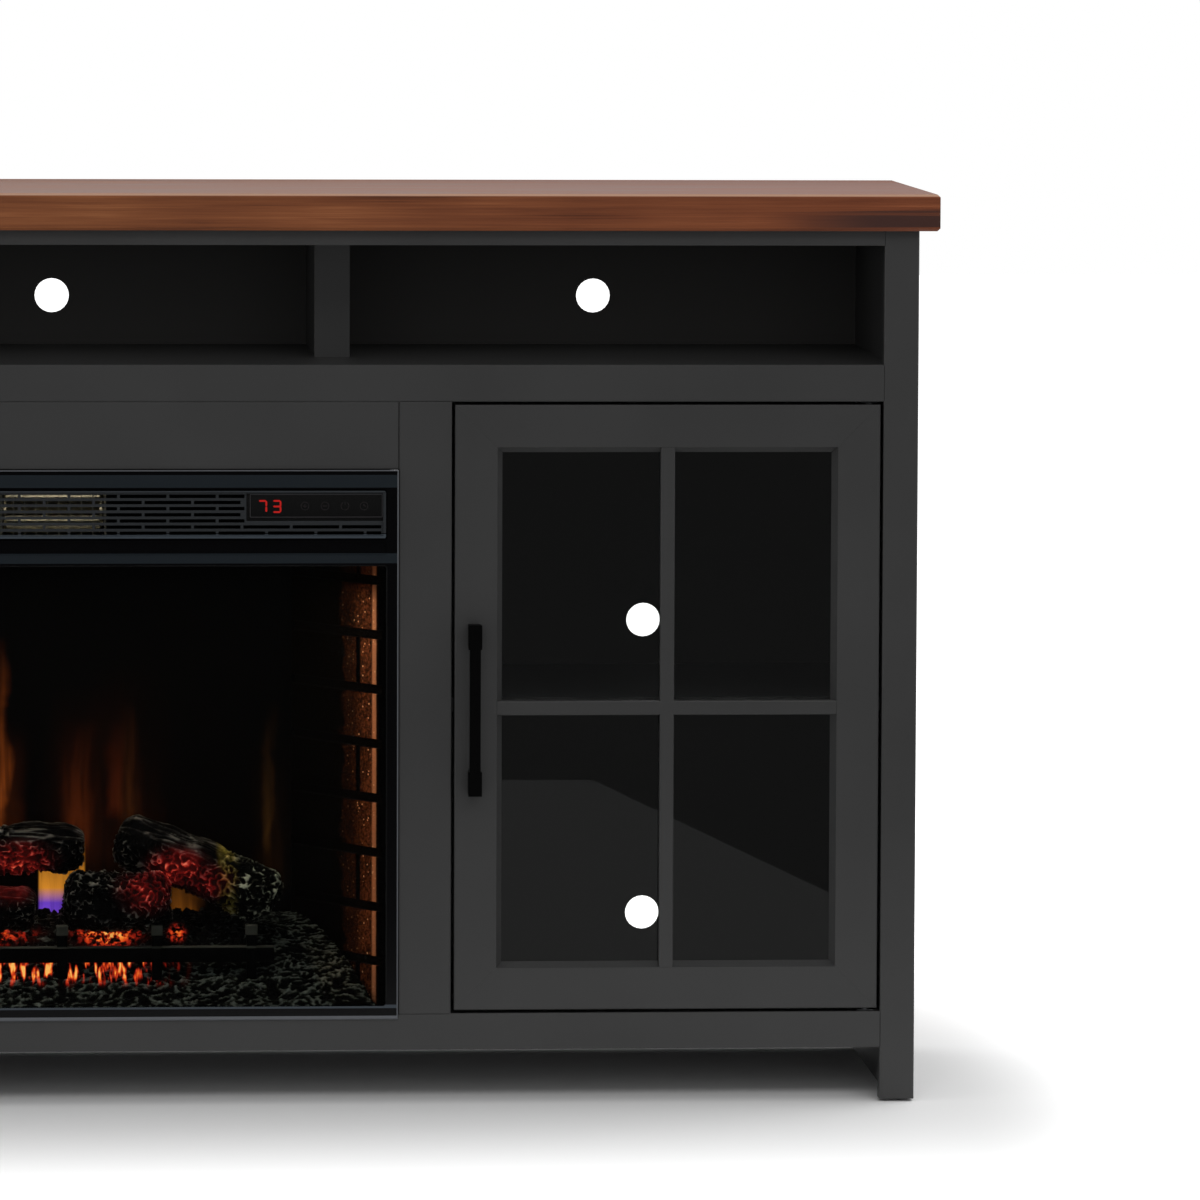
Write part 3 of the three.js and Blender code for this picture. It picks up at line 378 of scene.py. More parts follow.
woodLook = {
    "board": 0.1175,  # width of one glued board, m
    "fibre": 0.0022, "fibreLength": 0.16,
    "ring": 0.011, "ringLength": 0.7,
    "cloud": (5, 26, 26),
    "dark": "#3a1e10", "middle": "#64371b", "fair": "#724222", "light": "#8a5733",
    "streak": "#38201a", "streakFrom": (0.74, 0.88),
    # edge: painted highlight for the front top arris, the edge also rubbed paler
    "edge": "#a07c66", "glue": "#6b5a50",
}


# stained pine boards under satin lacquer: brown and reddish streaks along the length, pores catch the light
def stainedBoards():
    look = woodLook
    finish, shader, place = startFinish("stained pine, satin lacquer", specular=0.29)
    x, y, z = split(place)
    boardAt = calc("DIVIDE", y, look["board"])
    boardTone = grow("ShaderNodeTexWhiteNoise", {"noise_dimensions": "1D"}, {"W": calc("FLOOR", boardAt)})
    shifted = vectorCalc("ADD", place, boardTone["Color"])
    along, across = 1 / look["fibreLength"], 1 / look["fibre"]
    fibres = noiseAt(stretched(shifted, (along, across, across)), 1, 5, 0.65)
    along, across = 1 / look["ringLength"], 1 / look["ring"]
    rings = noiseAt(stretched(shifted, (along, across, across)), 1, 3, 0.55, 0.6)
    clouds = noiseAt(stretched(shifted, look["cloud"]), 1)
    grain = between(0.3, between(0.5, rings, fibres), clouds)
    stain = ramp(grain, (0.34, look["dark"]), (0.46, look["middle"]), (0.55, look["fair"]),
                 (0.66, look["light"]))
    # the stain is yellower towards the left end and redder towards the right
    side = mapped(x, -0.5, 0.9)
    cast = ramp(side, (0.0, "#ffffff"), (0.5, "#fbf3ee"), (1.0, "#f3dcdc"))
    stained = blend(1.0, stain, cast, "MULTIPLY")
    # a dark heartwood streak low on the right end of the front board
    waver = calc("MULTIPLY_ADD", rings, 0.035, z)
    streakMask = times(masked(waver, 0.956, 0.961), masked(waver, 0.966, 0.974, 1, 0),
                       masked(x, *look["streakFrom"]))
    streaked = blend(streakMask, stained, look["streak"])
    # painted highlight along the front top arris, where the edge is also rubbed paler
    arris = times(mapped(z, 0.9704, 0.9712), mapped(y, -0.2272, -0.2264, 1, 0))
    wornAndHighlit = blend(arris, streaked, look["edge"])
    # thin dark glue lines between the boards
    seam = mapped(calc("FRACT", boardAt), 0.0, 0.006, 1, 0)
    wire(shader, "Roughness", mapped(grain, 0.36, 0.64, 0.41, 0.55))
    return endFinish(finish, shader, blend(seam, wornAndHighlit, look["glue"], "MULTIPLY"), 0.35, 0.0006, fibres)


paintLook = {"deep": "#2d2d2d", "pale": "#313131", "peel": 0.0016, "roughness": 0.42}


# rolled satin lacquer on MDF: even charcoal, faint orange peel in the sheen
def satinPaint():
    look = paintLook
    finish, shader, place = startFinish("charcoal satin lacquer on MDF", look["roughness"], specular=0.45)
    tone = ramp(noiseAt(place, 6), (0.3, look["deep"]), (0.7, look["pale"]))
    return endFinish(finish, shader, tone, 0.25, 0.00008, noiseAt(place, 1 / look["peel"], 2, 0.4))


boardLook = {"foil": "#302f2e", "rearFace": 0.2195,
             "fibre": [(0.3, "#4f3524"), (0.55, "#6f4e36"), (0.75, "#87654a")]}


# hardboard backs: dark foil inside, raw brown pressed fibre behind
def foiledHardboard():
    finish, shader, place = startFinish("foiled hardboard", roughness=0.7, specular=0.3)
    rear = calc("GREATER_THAN", split(place)[1], boardLook["rearFace"])
    fibre = noiseAt(place, 420, 4, 0.7)
    tone = blend(rear, boardLook["foil"], ramp(fibre, *boardLook["fibre"]))
    return endFinish(finish, shader, tone, 0.3, 0.0002, fibre)


# plain finishes: dark and light tone, grain's size and depth in m, roughness, specular, metallic
plainLooks = {
    "moulded polyethylene": ("#141414", "#1d1d1d", 0.002, 0.0001, 0.55, 0.5, 0),
    "black powder coat on steel": ("#020202", "#040404", 0.0007, 0.00004, 0.5, 0.04, 0),
    "stove paint on sheet steel": ("#0f0f0f", "#161616", 0.0012, 0.00005, 0.75, 0.25, 0),
    # zinc tones darkened as painted shade, so the pivots stay dark in the door gaps; the back screws share
    # them
    "zinc plated steel, darkened for shade": ("#303132", "#444546", 0.004, 0.00003, 0.34, 0.5, 1),
    "galvanised sheet": ("#8a8778", "#b4af9e", 0.006, 0.00003, 0.38, 0.5, 1),
    "bright rolled aluminium": ("#b9babb", "#cfd0d1", 0.01, 0.00002, 0.18, 0.5, 1),
}


# even tone, the fine grain of the surface breaks up the sheen
def plainFinish(name):
    dark, light, size, depth, roughness, specular, metallic = plainLooks[name]
    finish, shader, place = startFinish(name, roughness, specular, {"Metallic": metallic})
    grain = noiseAt(place, 1 / size, 3)
    return endFinish(finish, shader, ramp(grain, (0.35, dark), (0.65, light)), 0.5, depth, grain)


# black, and lighter tones that are painted sheen and painted highlights
mouldingTones = {"black": "#030304", "band": "#191e22", "edge": "#54565a", "lip": "#343a40",
                 "slat": "#26282a", "rim": "#2c2f32"}
# the faces painted lighter than black, as painted sheen on the bands and painted highlights on the edges,
# lips, slats and rim: how far to the side or how high they lie, and their tone
frameMarks = [("height", 0.661, 0.6745, "band"), ("height", 0.5805, 0.591, "band"),
              ("height", 0.1045, 0.1082, "lip"), ("side", 0.3646, 0.37, "edge"),
              ("height", 0.09, 0.0964, "edge"), ("height", 0.6785, 0.69, "edge")]
grilleMarks = [("height", 0.6125, 0.6556, "slat"), ("height", 0.6072, 0.6115, "lip"),
               ("height", 0.656, 0.6576, "rim")]


# black ABS with a polished skin: flat faces stay black; the lighter tones on its bands, edges, lips, slats
# and rim are painted sheen and painted highlights
def mouldedTrim(name, marks):
    finish, shader, place = startFinish(name, roughness=0.25, specular=0.15)
    x, z = split(place)[::2]
    values = {"side": calc("ABSOLUTE", x), "height": z}
    tone = mouldingTones["black"]
    for axis, low, high, key in marks:
        inside = calc("COMPARE", values[axis], (low + high) / 2, (high - low) / 2)
        tone = blend(inside, tone, mouldingTones[key])
    return endFinish(finish, shader, tone, 0.2, 0.00002, noiseAt(place, 1 / 0.0006))


# float glass: almost colourless, mirrors faintly, a touch of tint that drifts across the sheet
def paneGlass(name, thin, dense, bend):
    finish, shader, place = startFinish(name, roughness=0, others={"Transmission Weight": 1.0, "IOR": bend})
    return endFinish(finish, shader, ramp(noiseAt(place, 3, 1), (0.3, thin), (0.7, dense)))


# polished black acrylic over the display
def displayGloss():
    finish, shader, place = startFinish("black acrylic lens", roughness=0.09)
    return endFinish(finish, shader, mapped(split(place)[2], 0.625, 0.655, 0.002, 0.004))


def bothHands(*names):
    return [f"{hand}_{name}" for name in names for hand in ("left", "right")]


dress(stainedBoards(), "top_board")
paint = satinPaint()
zincFinish = plainFinish("zinc plated steel, darkened for shade")
dress(paint, "sub_top", "cubby_shelf", "mid_rail", "fascia_panel", "bottom_panel", "bottom_rail", "rear_rail")
dress(paint, *bothHands("side_panel", "front_stile", "post", "partition", "cubby_divider", "shelf"))
dress(paint, *bothHands("door_hinge_stile", "door_lock_stile", "door_top_rail", "door_bottom_rail",
                        "door_muntin_grille"))
dress(foiledHardboard(), "back_panel_upper", *bothHands("back_panel"))
dress(plainFinish("moulded polyethylene"), *bothHands("front_glide", "rear_glide"))
dress(paneGlass("clear float glass", "#fafbfa", "#f5f8f6", 1.5), *bothHands("door_glass"))
dress(plainFinish("black powder coat on steel"), *bothHands("door_handle"))
dress(zincFinish, *bothHands("upper_pivot", "lower_pivot"))
dress(mouldedTrim("black ABS frame", frameMarks), "insert_trim")
dress(mouldedTrim("black ABS grille", grilleMarks), "louvre_grille")
dress(displayGloss(), "display_module")
dress(paneGlass("tempered fire glass, low glare coat", "#e2e4e4", "#dcdfdf", 1.16), "insert_glass")
dress(plainFinish("stove paint on sheet steel"), "insert_housing")
dress(plainFinish("galvanised sheet"), "blower_duct", "blower_wheel")
dress(plainFinish("bright rolled aluminium"), "flicker_rod")
print("cabinet finishes on")

flameLook = {
    # flames thrown on the screen: x, foot z, tip z, width, strength, hot colour
    "flames": [
        (-0.0575, 0.27, 0.49, 0.012, 0.5, "#a8501c"),
        (-0.052, 0.24, 0.40, 0.030, 0.12, "#8a4018"),
        (0.009, 0.170, 0.276, 0.0262, 1.35, "#f09a30"),
        (0.028, 0.24, 0.40, 0.022, 0.16, "#a8481c"),
        (0.027, 0.22, 0.44, 0.045, 0.05, "#7a3a18"),
        (0.066, 0.29, 0.40, 0.014, 0.13, "#a0401c"),
        (0.082, 0.28, 0.42, 0.016, 0.12, "#8a4a20"),
        (0.076, 0.22, 0.46, 0.055, 0.045, "#7a3a18"),
        (0.140, 0.15, 0.235, 0.028, 0.75, "#b86a20"),
        (0.231, 0.25, 0.42, 0.010, 0.09, "#8a5a28"),
        (0.238, 0.21, 0.38, 0.030, 0.05, "#6a4018"),
        (0.08, 0.16, 0.56, 0.24, 0.004, "#8a5030"),
        (-0.12, 0.23, 0.45, 0.026, 0.3, "#a8501c"),
        (-0.175, 0.20, 0.40, 0.030, 0.35, "#a0481a"),
        (-0.225, 0.19, 0.34, 0.022, 0.2, "#8a401a"),
    ],
    "screen": "#020202",
    "blueFoot": "#6b3fc0",
    "lick": 0.045,  # how far the flames sway, m
    "steadyFrom": 1,  # a stronger flame stands still and has a blue foot
    "steadyCore": 0.88,  # share of its width over which it is even
}


# smoked mirror acrylic that the flame picture is thrown on
def flameMirror():
    look = flameLook
    finish, shader, place = startFinish("smoked mirror acrylic", roughness=0.12, specular=0.08, others={
        "Base Color": look["screen"], "Emission Strength": 1.0})
    wave = noiseAt(stretched(place, (14, 1, 11)), 1, 3, 0.6, 0.5)
    x, z = split(place)[::2]
    swayed = calc("MULTIPLY_ADD", wave, look["lick"], x)
    fibre = noiseAt(stretched(place, (95, 1, 9)), 1, 2, 0.5, 0.6)
    total = None
    for middle, foot, tip, width, strength, hot in look["flames"]:
        steady = strength > look["steadyFrom"]
        core = look["steadyCore"] if steady else 0
        height = mapped(z, foot, tip)
        rise = ramp(height, (0.0, "#000000"), (0.16, "#ffffff"), (0.6, "#b0b0b0"), (1.0, "#000000"))
        off = calc("SUBTRACT", *((x, middle) if steady else (swayed, middle + look["lick"] / 2)))
        across = masked(calc("ABSOLUTE", off), width * core, width, strength, 0)
        low = [(0.0, look["blueFoot"]), (0.29, look["blueFoot"]), (0.44, hot)] if steady else [(0.0, hot)]
        part = scaled(ramp(height, *low, (1.0, hot)), times(rise, across))
        total = part if total is None else vectorCalc("ADD", total, part)
    wire(shader, "Emission Color", scaled(total, masked(fibre, 0.35, 0.62, 0.55, 1.1)))
    return finish


brickLook = {
    "faceFront": (0.346, -0.196), "faceBack": (0.2575, -0.060),
    # the arris tone is a painted highlight along the front edge of the brick
    "dark": "#1a0c05", "middle": "#42210f", "light": "#6c3b20", "arris": "#ac7450", "grit": "#d8a478",
    "paintedShade": "#030201", "mortar": "#050403",
    "patchReach": 0.05,  # how unevenly the painted shade ends, m
}


# cast brick lining painted amber brown: stippled faces, black joints
def castBrick():
    look = brickLook
    finish, shader, place = startFinish("cast vermiculite brick, painted", roughness=0.85, specular=0.06)
    (x0, y0), (x1, y1) = look["faceFront"], look["faceBack"]
    along = Vector((x1 - x0, y1 - y0)).normalized()
    x, y, z = split(place)
    sameSide = grow("ShaderNodeCombineXYZ", None, {0: calc("ABSOLUTE", x), 1: y, 2: z})[0]
    fromFront = vectorCalc("SUBTRACT", sameSide, (x0, y0, 0))
    # distance behind the brick face, towards the outside, and back from its front edge
    behind = vectorCalc("DOT_PRODUCT", fromFront, (along.y, -along.x, 0))
    back = vectorCalc("DOT_PRODUCT", fromFront, (along.x, along.y, 0))
    stipple = noiseAt(place, 280, 4, 0.72)
    patches = noiseAt(place, 28, 3)
    tone = ramp(between(0.35, stipple, patches), (0.41, look["dark"]), (0.5, look["middle"]),
                (0.6, look["light"]))
    uneven = calc("MULTIPLY_ADD", patches, look["patchReach"], back)
    # painted shade: the brick faces darken towards the back, away from the lamp light
    paintedShade = calc("MAXIMUM", masked(uneven, 0.044, 0.078, 0, 0.85),
                masked(uneven, 0.074, 0.096))
    # painted highlight along the arris behind the front edge, the front edge itself painted shade of the gap;
    # pale grit in the face
    front = times(masked(back, 0.004, 0.0065), masked(back, 0.0105, 0.014, 1, 0))
    edged = blend(front, tone, look["arris"])
    grit = grow("ShaderNodeTexVoronoi", {"feature": "F1"}, {"Vector": place, "Scale": 190})
    chosen = calc("GREATER_THAN", split(grit["Color"])[0], 0.6)
    specks = times(mapped(grit["Distance"], 0.16, 0.22, 1, 0), chosen)
    withPaintedShade = blend(paintedShade, blend(specks, edged, look["grit"]), look["paintedShade"])
    # painted shade along the front edge, in the gap by the trim
    withPaintedShade = blend(masked(back, 0.003, 0.005, 1, 0), withPaintedShade, look["paintedShade"])
    jointed = blend(mapped(behind, 0.0006, 0.0016), withPaintedShade, look["mortar"])
    return endFinish(finish, shader, jointed, 1.0, 0.007, stipple)


# where embers glow: centre, reach in each direction, power
bedSpots = [
    ((-0.10, -0.12, 0.172), (0.105, 0.035, 0.026), 1.0),
    ((0.057, -0.12, 0.172), (0.052, 0.035, 0.026), 1.0),
    ((0.132, -0.12, 0.174), (0.014, 0.035, 0.014), 0.8),
]
logSpots = [
    ((-0.036, -0.135, 0.254), (0.052, 0.05, 0.03), 1.0),
    ((0.132, -0.15, 0.248), (0.046, 0.055, 0.031), 1.0),
    ((0.098, -0.175, 0.232), (0.042, 0.045, 0.038), 0.9),
    ((0.168, -0.15, 0.235), (0.036, 0.055, 0.026), 0.75),
    ((-0.045, -0.165, 0.228), (0.036, 0.045, 0.024), 0.6),
    ((-0.14, -0.14, 0.225), (0.05, 0.05, 0.03), 0.8),
    ((-0.21, -0.14, 0.19), (0.03, 0.05, 0.03), 0.5),
]
coalHeat = [(0.0, "#000000"), (0.12, "#220503"), (0.38, "#8a1a0e"), (0.66, "#d04018"), (0.85, "#ee7c2c"),
            (1.0, "#f6b45c")]


# how close a point is to the nearest glowing spot, 0 to its power
def nearSpots(place, spots):
    total = None
    for centre, reach, power in spots:
        off = vectorCalc("DIVIDE", vectorCalc("SUBTRACT", place, centre), reach)
        mask = masked(vectorCalc("LENGTH", off), 0.2, 1.0, power, 0)
        total = mask if total is None else calc("MAXIMUM", total, mask)
    return total


def heatGlow(shader, heat, strength, stops):
    wire(shader, "Emission Color", ramp(heat, *stops))
    shader.inputs["Emission Strength"].default_value = strength


# the carving stores 0 in its hollows and 1 on its crests
def crestOf(finish):
    return addNode(finish.node_tree, "ShaderNodeAttribute", {"attribute_name": "crest"}).outputs["Fac"]


ashLook = {
    "tones": [(0.38, "#020202"), (0.57, "#0d0f0c"), (0.7, "#3c423b"), (0.84, "#56605d")],  # hollow to tip
    # painted reflection of the ember glow on the ridges below the bar, emitted between these heights, depths
    # and ends
    "glowReflectionRise": (0.122, 0.136), "glowReflectionFront": (-0.1535, -0.1505), "glowReflectionLeft": (-0.24, -0.17),
    "glowReflectionRight": (0.085, 0.155),
    "glowReflectionPitch": 0.0066,
    "glow": 1.35,
}


# cast ash in waves: dull grey-green crests with bluish tips over dark hollows; below the bar the ridges carry
# a painted reflection of the ember glow
def castAsh():
    look = ashLook
    finish, shader, place = startFinish("cast ash")
    fine = noiseAt(place, 320, 4, 0.6)
    speckled = between(0.4, crestOf(finish), fine)
    wire(shader, "Specular IOR Level", masked(speckled, 0.5, 0.75, 0.02, 0.4))
    x, y, z = split(place)
    # short upright streaks of painted reflection
    upright = stretched(place, (1 / look["glowReflectionPitch"], 1, 0.35 / look["glowReflectionPitch"]))
    glowReflection = times(masked(noiseAt(upright, 1, 2, 0.5, 0.15), 0.47, 0.66),
                 masked(z, *look["glowReflectionRise"]), masked(y, *look["glowReflectionFront"], 1, 0),
                 masked(x, *look["glowReflectionLeft"]), masked(x, *look["glowReflectionRight"], 1, 0))
    coals = times(nearSpots(place, bedSpots), masked(noiseAt(place, 120), 0.42, 0.6))
    heatGlow(shader, calc("MAXIMUM", glowReflection, coals), look["glow"], coalHeat)
    return endFinish(finish, shader, ramp(speckled, *look["tones"]), 0.7, 0.0008, fine)


clinkerLook = {"tones": [(0.38, "#060505"), (0.56, "#151311"), (0.7, "#33302c")], "glow": 1.15}


# cast clinker: black crust that is see-through orange where the lamp sits under it
def castClinker():
    finish, shader, place = startFinish("cast clinker", roughness=0.7, specular=0.08)
    fine = noiseAt(place, 260, 4, 0.65)
    heat = times(nearSpots(place, bedSpots), masked(noiseAt(place, 150), 0.4, 0.62))
    heatGlow(shader, heat, clinkerLook["glow"], coalHeat)
    return endFinish(finish, shader, ramp(fine, *clinkerLook["tones"]), 0.7, 0.0008, fine)


logLook = {
    # crest tones run from black hollows to pale tops; the pale tops are dry-brush lightened further as
    # painted highlight
    "char": [(0.3, "#020202"), (0.6, "#151310"), (1.0, "#67645a")],
    "bark": [(0.3, "#030302"), (0.6, "#22231b"), (1.0, "#a8ac92")],
    "barkFrom": (0.178, 0.2),  # x over which char gives way to bark
    # the band is a yellowish painted highlight on the crests
    "bandFrom": (0.172, 0.184), "bandTo": (0.188, 0.2), "band": "#8a7a30",
    "heat": [(0.0, "#000000"), (0.12, "#1c0404"), (0.42, "#6a1210"), (0.72, "#cc3422"), (1.0, "#ff7a50")],
    "glow": 0.9,
}


# cast logs painted as charred wood: black scales, their crests dry-brushed grey-green and lightened further
# as a painted highlight for glints, red in the veins
def charredLog():
    look = logLook
    finish, shader, place = startFinish("cast log, painted char", roughness=0.42)
    crest = crestOf(finish)
    x = split(place)[0]
    wide = noiseAt(place, 45, 3, 0.6)
    # crests painted paler: dry-brush and painted highlight for glints
    dryBrushAndGlint = times(crest, masked(wide, 0.36, 0.58, 0.55, 1))
    wire(shader, "Specular IOR Level", masked(dryBrushAndGlint, 0.35, 0.95, 0.02, 0.6))
    charThenBark = blend(masked(x, *look["barkFrom"]), ramp(dryBrushAndGlint, *look["char"]),
                  ramp(dryBrushAndGlint, *look["bark"]))
    # a narrow ochre band of painted highlight on the crests where bark meets char
    band = times(masked(x, *look["bandFrom"]), masked(x, *look["bandTo"], 1, 0), dryBrushAndGlint)
    # the lamp inside shines red through the thin crests and faintly through the skin round them
    heat = times(nearSpots(place, logSpots), mapped(crest, 0, 1, 0.22, 1.0),
                 masked(wide, 0.34, 0.6, 0.45, 1))
    heatGlow(shader, heat, look["glow"], look["heat"])
    banded = blend(band, charThenBark, look["band"])
    return endFinish(finish, shader, banded, 0.6, 0.0006, noiseAt(place, 480, 3, 0.6))


ironLook = {"black": "#020202", "wornAndHighlit": "#3c3c36", "capsFrom": (0.1785, 0.1795),
            "barTopFrom": (0.1645, 0.1655), "barTopTo": (0.1667, 0.1677)}


# black cast iron; the caps and the top of the bar painted grey as painted highlight, the caps also worn
def castIron():
    look = ironLook
    finish, shader, place = startFinish("cast iron, stove blacked", roughness=0.6, specular=0.02)
    z = split(place)[2]
    barTop = times(masked(z, *look["barTopFrom"]), masked(z, *look["barTopTo"], 1, 0))
    # painted highlight on the caps and along the top of the bar
    wornAndHighlit = calc("MAXIMUM", masked(z, *look["capsFrom"]), barTop)
    tone = blend(wornAndHighlit, look["black"], look["wornAndHighlit"])
    return endFinish(finish, shader, tone, 0.5, 0.0003, noiseAt(place, 600, 3))


def fineCopy(node, voxel):
    form = bmesh.new()
    form.from_mesh(nodes[node].data)
    bmesh.ops.remove_doubles(form, verts=form.verts, dist=0.00002)
    helper = placed("helper", meshFrom("helper", form))
    remesh = helper.modifiers.new("fine", "REMESH")
    remesh.mode = "VOXEL"
    remesh.voxel_size = voxel
    remesh.use_smooth_shade = True
    return settledMesh(helper)


def smoothStep(value, low, high):
    share = min(max((value - low) / (high - low), 0), 1)
    return share * share * (3 - 2 * share)


def storeCrests(mesh, crests):
    mesh.attributes.new("crest", "FLOAT", "POINT").data.foreach_set("value", crests)


logPlan = {
    "voxel": 0.0014,
    "cell": 0.0068,  # size of one char scale
    "warp": 0.45,  # how far the scales wander, in cells
    "scaleEdge": (0.02, 0.22),
    "proud": 0.0014,
    "sunk": 0.003,
    "lump": 0.003,
    "grit": 0.0004,
    "endRound": 0.45,  # length of the rounded ends and how far they draw in, as shares of the radius
    "drawIn": 0.3,
    "lines": {
        "log_right": [[(0.07, -0.1005, 0.2774), (0.1542, -0.1255, 0.2471), (0.2374, -0.1505, 0.2132)]],
        "log_front": [[(0.009, -0.1505, 0.214), (0.0662, -0.1495, 0.212), (0.1272, -0.1505, 0.2115)]],
        "log_left": [
            [(0.033, -0.1085, 0.2659), (-0.0582, -0.1085, 0.2631), (-0.2536, -0.1258, 0.1821)],
            [(-0.019, -0.1505, 0.206), (-0.06, -0.1485, 0.205), (-0.2112, -0.131, 0.1772)],
        ],
    },
    "radius": {"log_right": 0.031, "log_front": 0.033, "log_left": 0.028},
    "bark": {"log_right": 0.13, "log_front": 0.0, "log_left": 0.09},  # length of bark on top, m
    "barkUp": (0.25, 0.55),  # how far a face has to look up to keep its bark
    "ridges": (18, 5.5),  # along and round the log
}


# nearest point on the bent axes, how far along its axis it lies, and that axis
def nearestOnLine(point, lines):
    best = None
    for line in lines:
        run = 0
        for start, end in zip(line, line[1:]):
            start, end = Vector(start), Vector(end)
            step = end - start
            share = min(max((point - start).dot(step) / step.length_squared, 0), 1)
            foot = start + step * share
            gap = (point - foot).length
            if best is None or gap < best[0]:
                best = (gap, foot, run + step.length * share, line)
            run += step.length
    return best[1:]


def lineLength(line):
    return sum((Vector(b) - Vector(a)).length for a, b in zip(line, line[1:]))


# curly char scales: crests follow the zero lines of a warped noise, long bark ridges on top of the upper end
def carveLogs(finish):
    plan = logPlan
    ridgesAlong, ridgesRound = plan["ridges"]
    for node, lines in plan["lines"].items():
        mesh = fineCopy(node, plan["voxel"])
        normals = [vertex.normal.copy() for vertex in mesh.vertices]
        reach, bark = plan["endRound"] * plan["radius"][node], plan["bark"][node]
        crests = []
        for vertex, normal in zip(mesh.vertices, normals):
            point = vertex.co.copy()
            foot, run, line = nearestOnLine(point, lines)
            out = (point - foot).normalized()
            nearEnd = 1 - min(run, lineLength(line) - run, reach) / reach
            point = foot + (point - foot) * (1 - plan["drawIn"] * nearEnd * nearEnd)
            warped = point / plan["cell"] + noise.noise_vector(point * 70) * plan["warp"]
            curl = abs(noise.noise(warped))
            broken = 0.45 + 0.55 * smoothStep(noise.noise(point * 165), -0.25, 0.2)
            scale = (1 - smoothStep(curl, *plan["scaleEdge"])) * broken
            barkShare = smoothStep(out.z, *plan["barkUp"]) * (1 - smoothStep(run, bark * 0.8, bark + 0.001))
            if barkShare > 0:
                turn = math.atan2(out.y, out.z)
                ridge = abs(noise.noise(Vector((run * ridgesAlong, turn * ridgesRound, 3.0))))
                scale += (0.4 + 0.4 * (1 - smoothStep(ridge, 0.02, 0.2)) - scale) * barkShare
            grit = noise.fractal(point * 300, 1.0, 2.0, 2)
            crests.append(scale)
            lump = plan["lump"] * (noise.noise(point * 42) - 0.3)
            vertex.co = point + normal * (plan["proud"] * scale - plan["sunk"] * (1 - scale) + lump
                                          + plan["grit"] * grit)
        storeCrests(mesh, crests)
        for face in mesh.polygons:
            face.use_smooth = True
        piece = newPiece("charred_" + node, mesh, finish, "cabinet")
        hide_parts(node)


bedPlan = {
    "columns": 420, "rows": 130,
    "front": -0.2029, "back": -0.0681,
    "frontHalf": 0.3432, "backHalf": 0.2565,
    "low": 0.09975, "frontHeight": 0.0068, "rise": 0.084,
    "wave": 0.0036, "waveLong": 0.015, "waveWide": 0.0062,
    "waveShare": 0.65, "wrinkleShare": 0.35,
    "waveMiddle": 0.6,  # crest height that stays on the smooth slope
    "bend": 2.2, "swirl": 0.5,  # how far the waves bend, in waves
    "grit": 0.0009,
}


# one closed sheet of waves that climbs from the glass to the screen, with a flat underside
def shapeBed(finish):
    plan = bedPlan
    form = bmesh.new()
    top, crests = [], []
    for row in range(plan["rows"] + 1):
        depth = row / plan["rows"]
        y = plan["front"] + (plan["back"] - plan["front"]) * depth
        half = plan["frontHalf"] + (plan["backHalf"] - plan["frontHalf"]) * depth
        rise = math.sin(depth * math.pi / 2)
        keep = smoothStep(depth, 0.0, 0.05)
        line = []
        for column in range(plan["columns"] + 1):
            x = (column / plan["columns"] * 2 - 1) * half
            bend = noise.noise(Vector((x * 14, depth * 3, 0.4)))
            swirl = noise.noise_vector(Vector((x * 45, y * 60, 1.7))) * plan["swirl"]
            across = y / plan["waveWide"] + bend * plan["bend"] + swirl.y
            wave = 1 - 2.4 * abs(noise.noise(Vector((x / plan["waveLong"] + swirl.x, across, 2.1))))
            wrinkle = 1 - 3 * abs(noise.noise(Vector((x * 130 + swirl.x, y * 330, 5.0)) + swirl))
            crest = plan["waveShare"] * wave + plan["wrinkleShare"] * wrinkle
            grit = noise.fractal(Vector((x, y, 0)) * 420, 1.0, 2.0, 2)
            z = plan["low"] + plan["frontHeight"] + plan["rise"] * rise \
                + keep * (plan["wave"] * (crest - plan["waveMiddle"]) + plan["grit"] * grit)
            line.append(form.verts.new((x, y, z)))
            crests.append(min(max(crest, 0), 1))
        top.append(line)
    for near, far in zip(top, top[1:]):
        for i in range(plan["columns"]):
            form.faces.new((near[i], near[i + 1], far[i + 1], far[i]))
    rim = top[0] + [line[-1] for line in top[1:]] + top[-1][-2::-1] + [line[0] for line in top[-2:0:-1]]
    under = [form.verts.new((v.co.x, v.co.y, plan["low"])) for v in rim]
    for i in range(len(rim)):
        form.faces.new((rim[i], rim[i - 1], under[i - 1], under[i]))
    form.faces.new(list(reversed(under)))
    crests += [0.2] * len(under)
    mesh = meshFrom("ashBed", form, True)
    storeCrests(mesh, crests)
    piece = newPiece("ash_bed", mesh, finish, "cabinet")
    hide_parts("ember_bed")
    return piece


gratePlan = {
    "bar": ((-0.235, -0.174, 0.14975), (0.235, -0.164, 0.16675)),
    "posts": [0.009 + 0.101 * i for i in range(-2, 3)],
    "postHalf": 0.0065, "postFront": -0.177, "postFoot": 0.101, "postTop": 0.18975,
    "capHeight": 0.011,
    "capStep": 0.001,  # how far the cap stands out over the shank
    "arris": 0.0012,
}


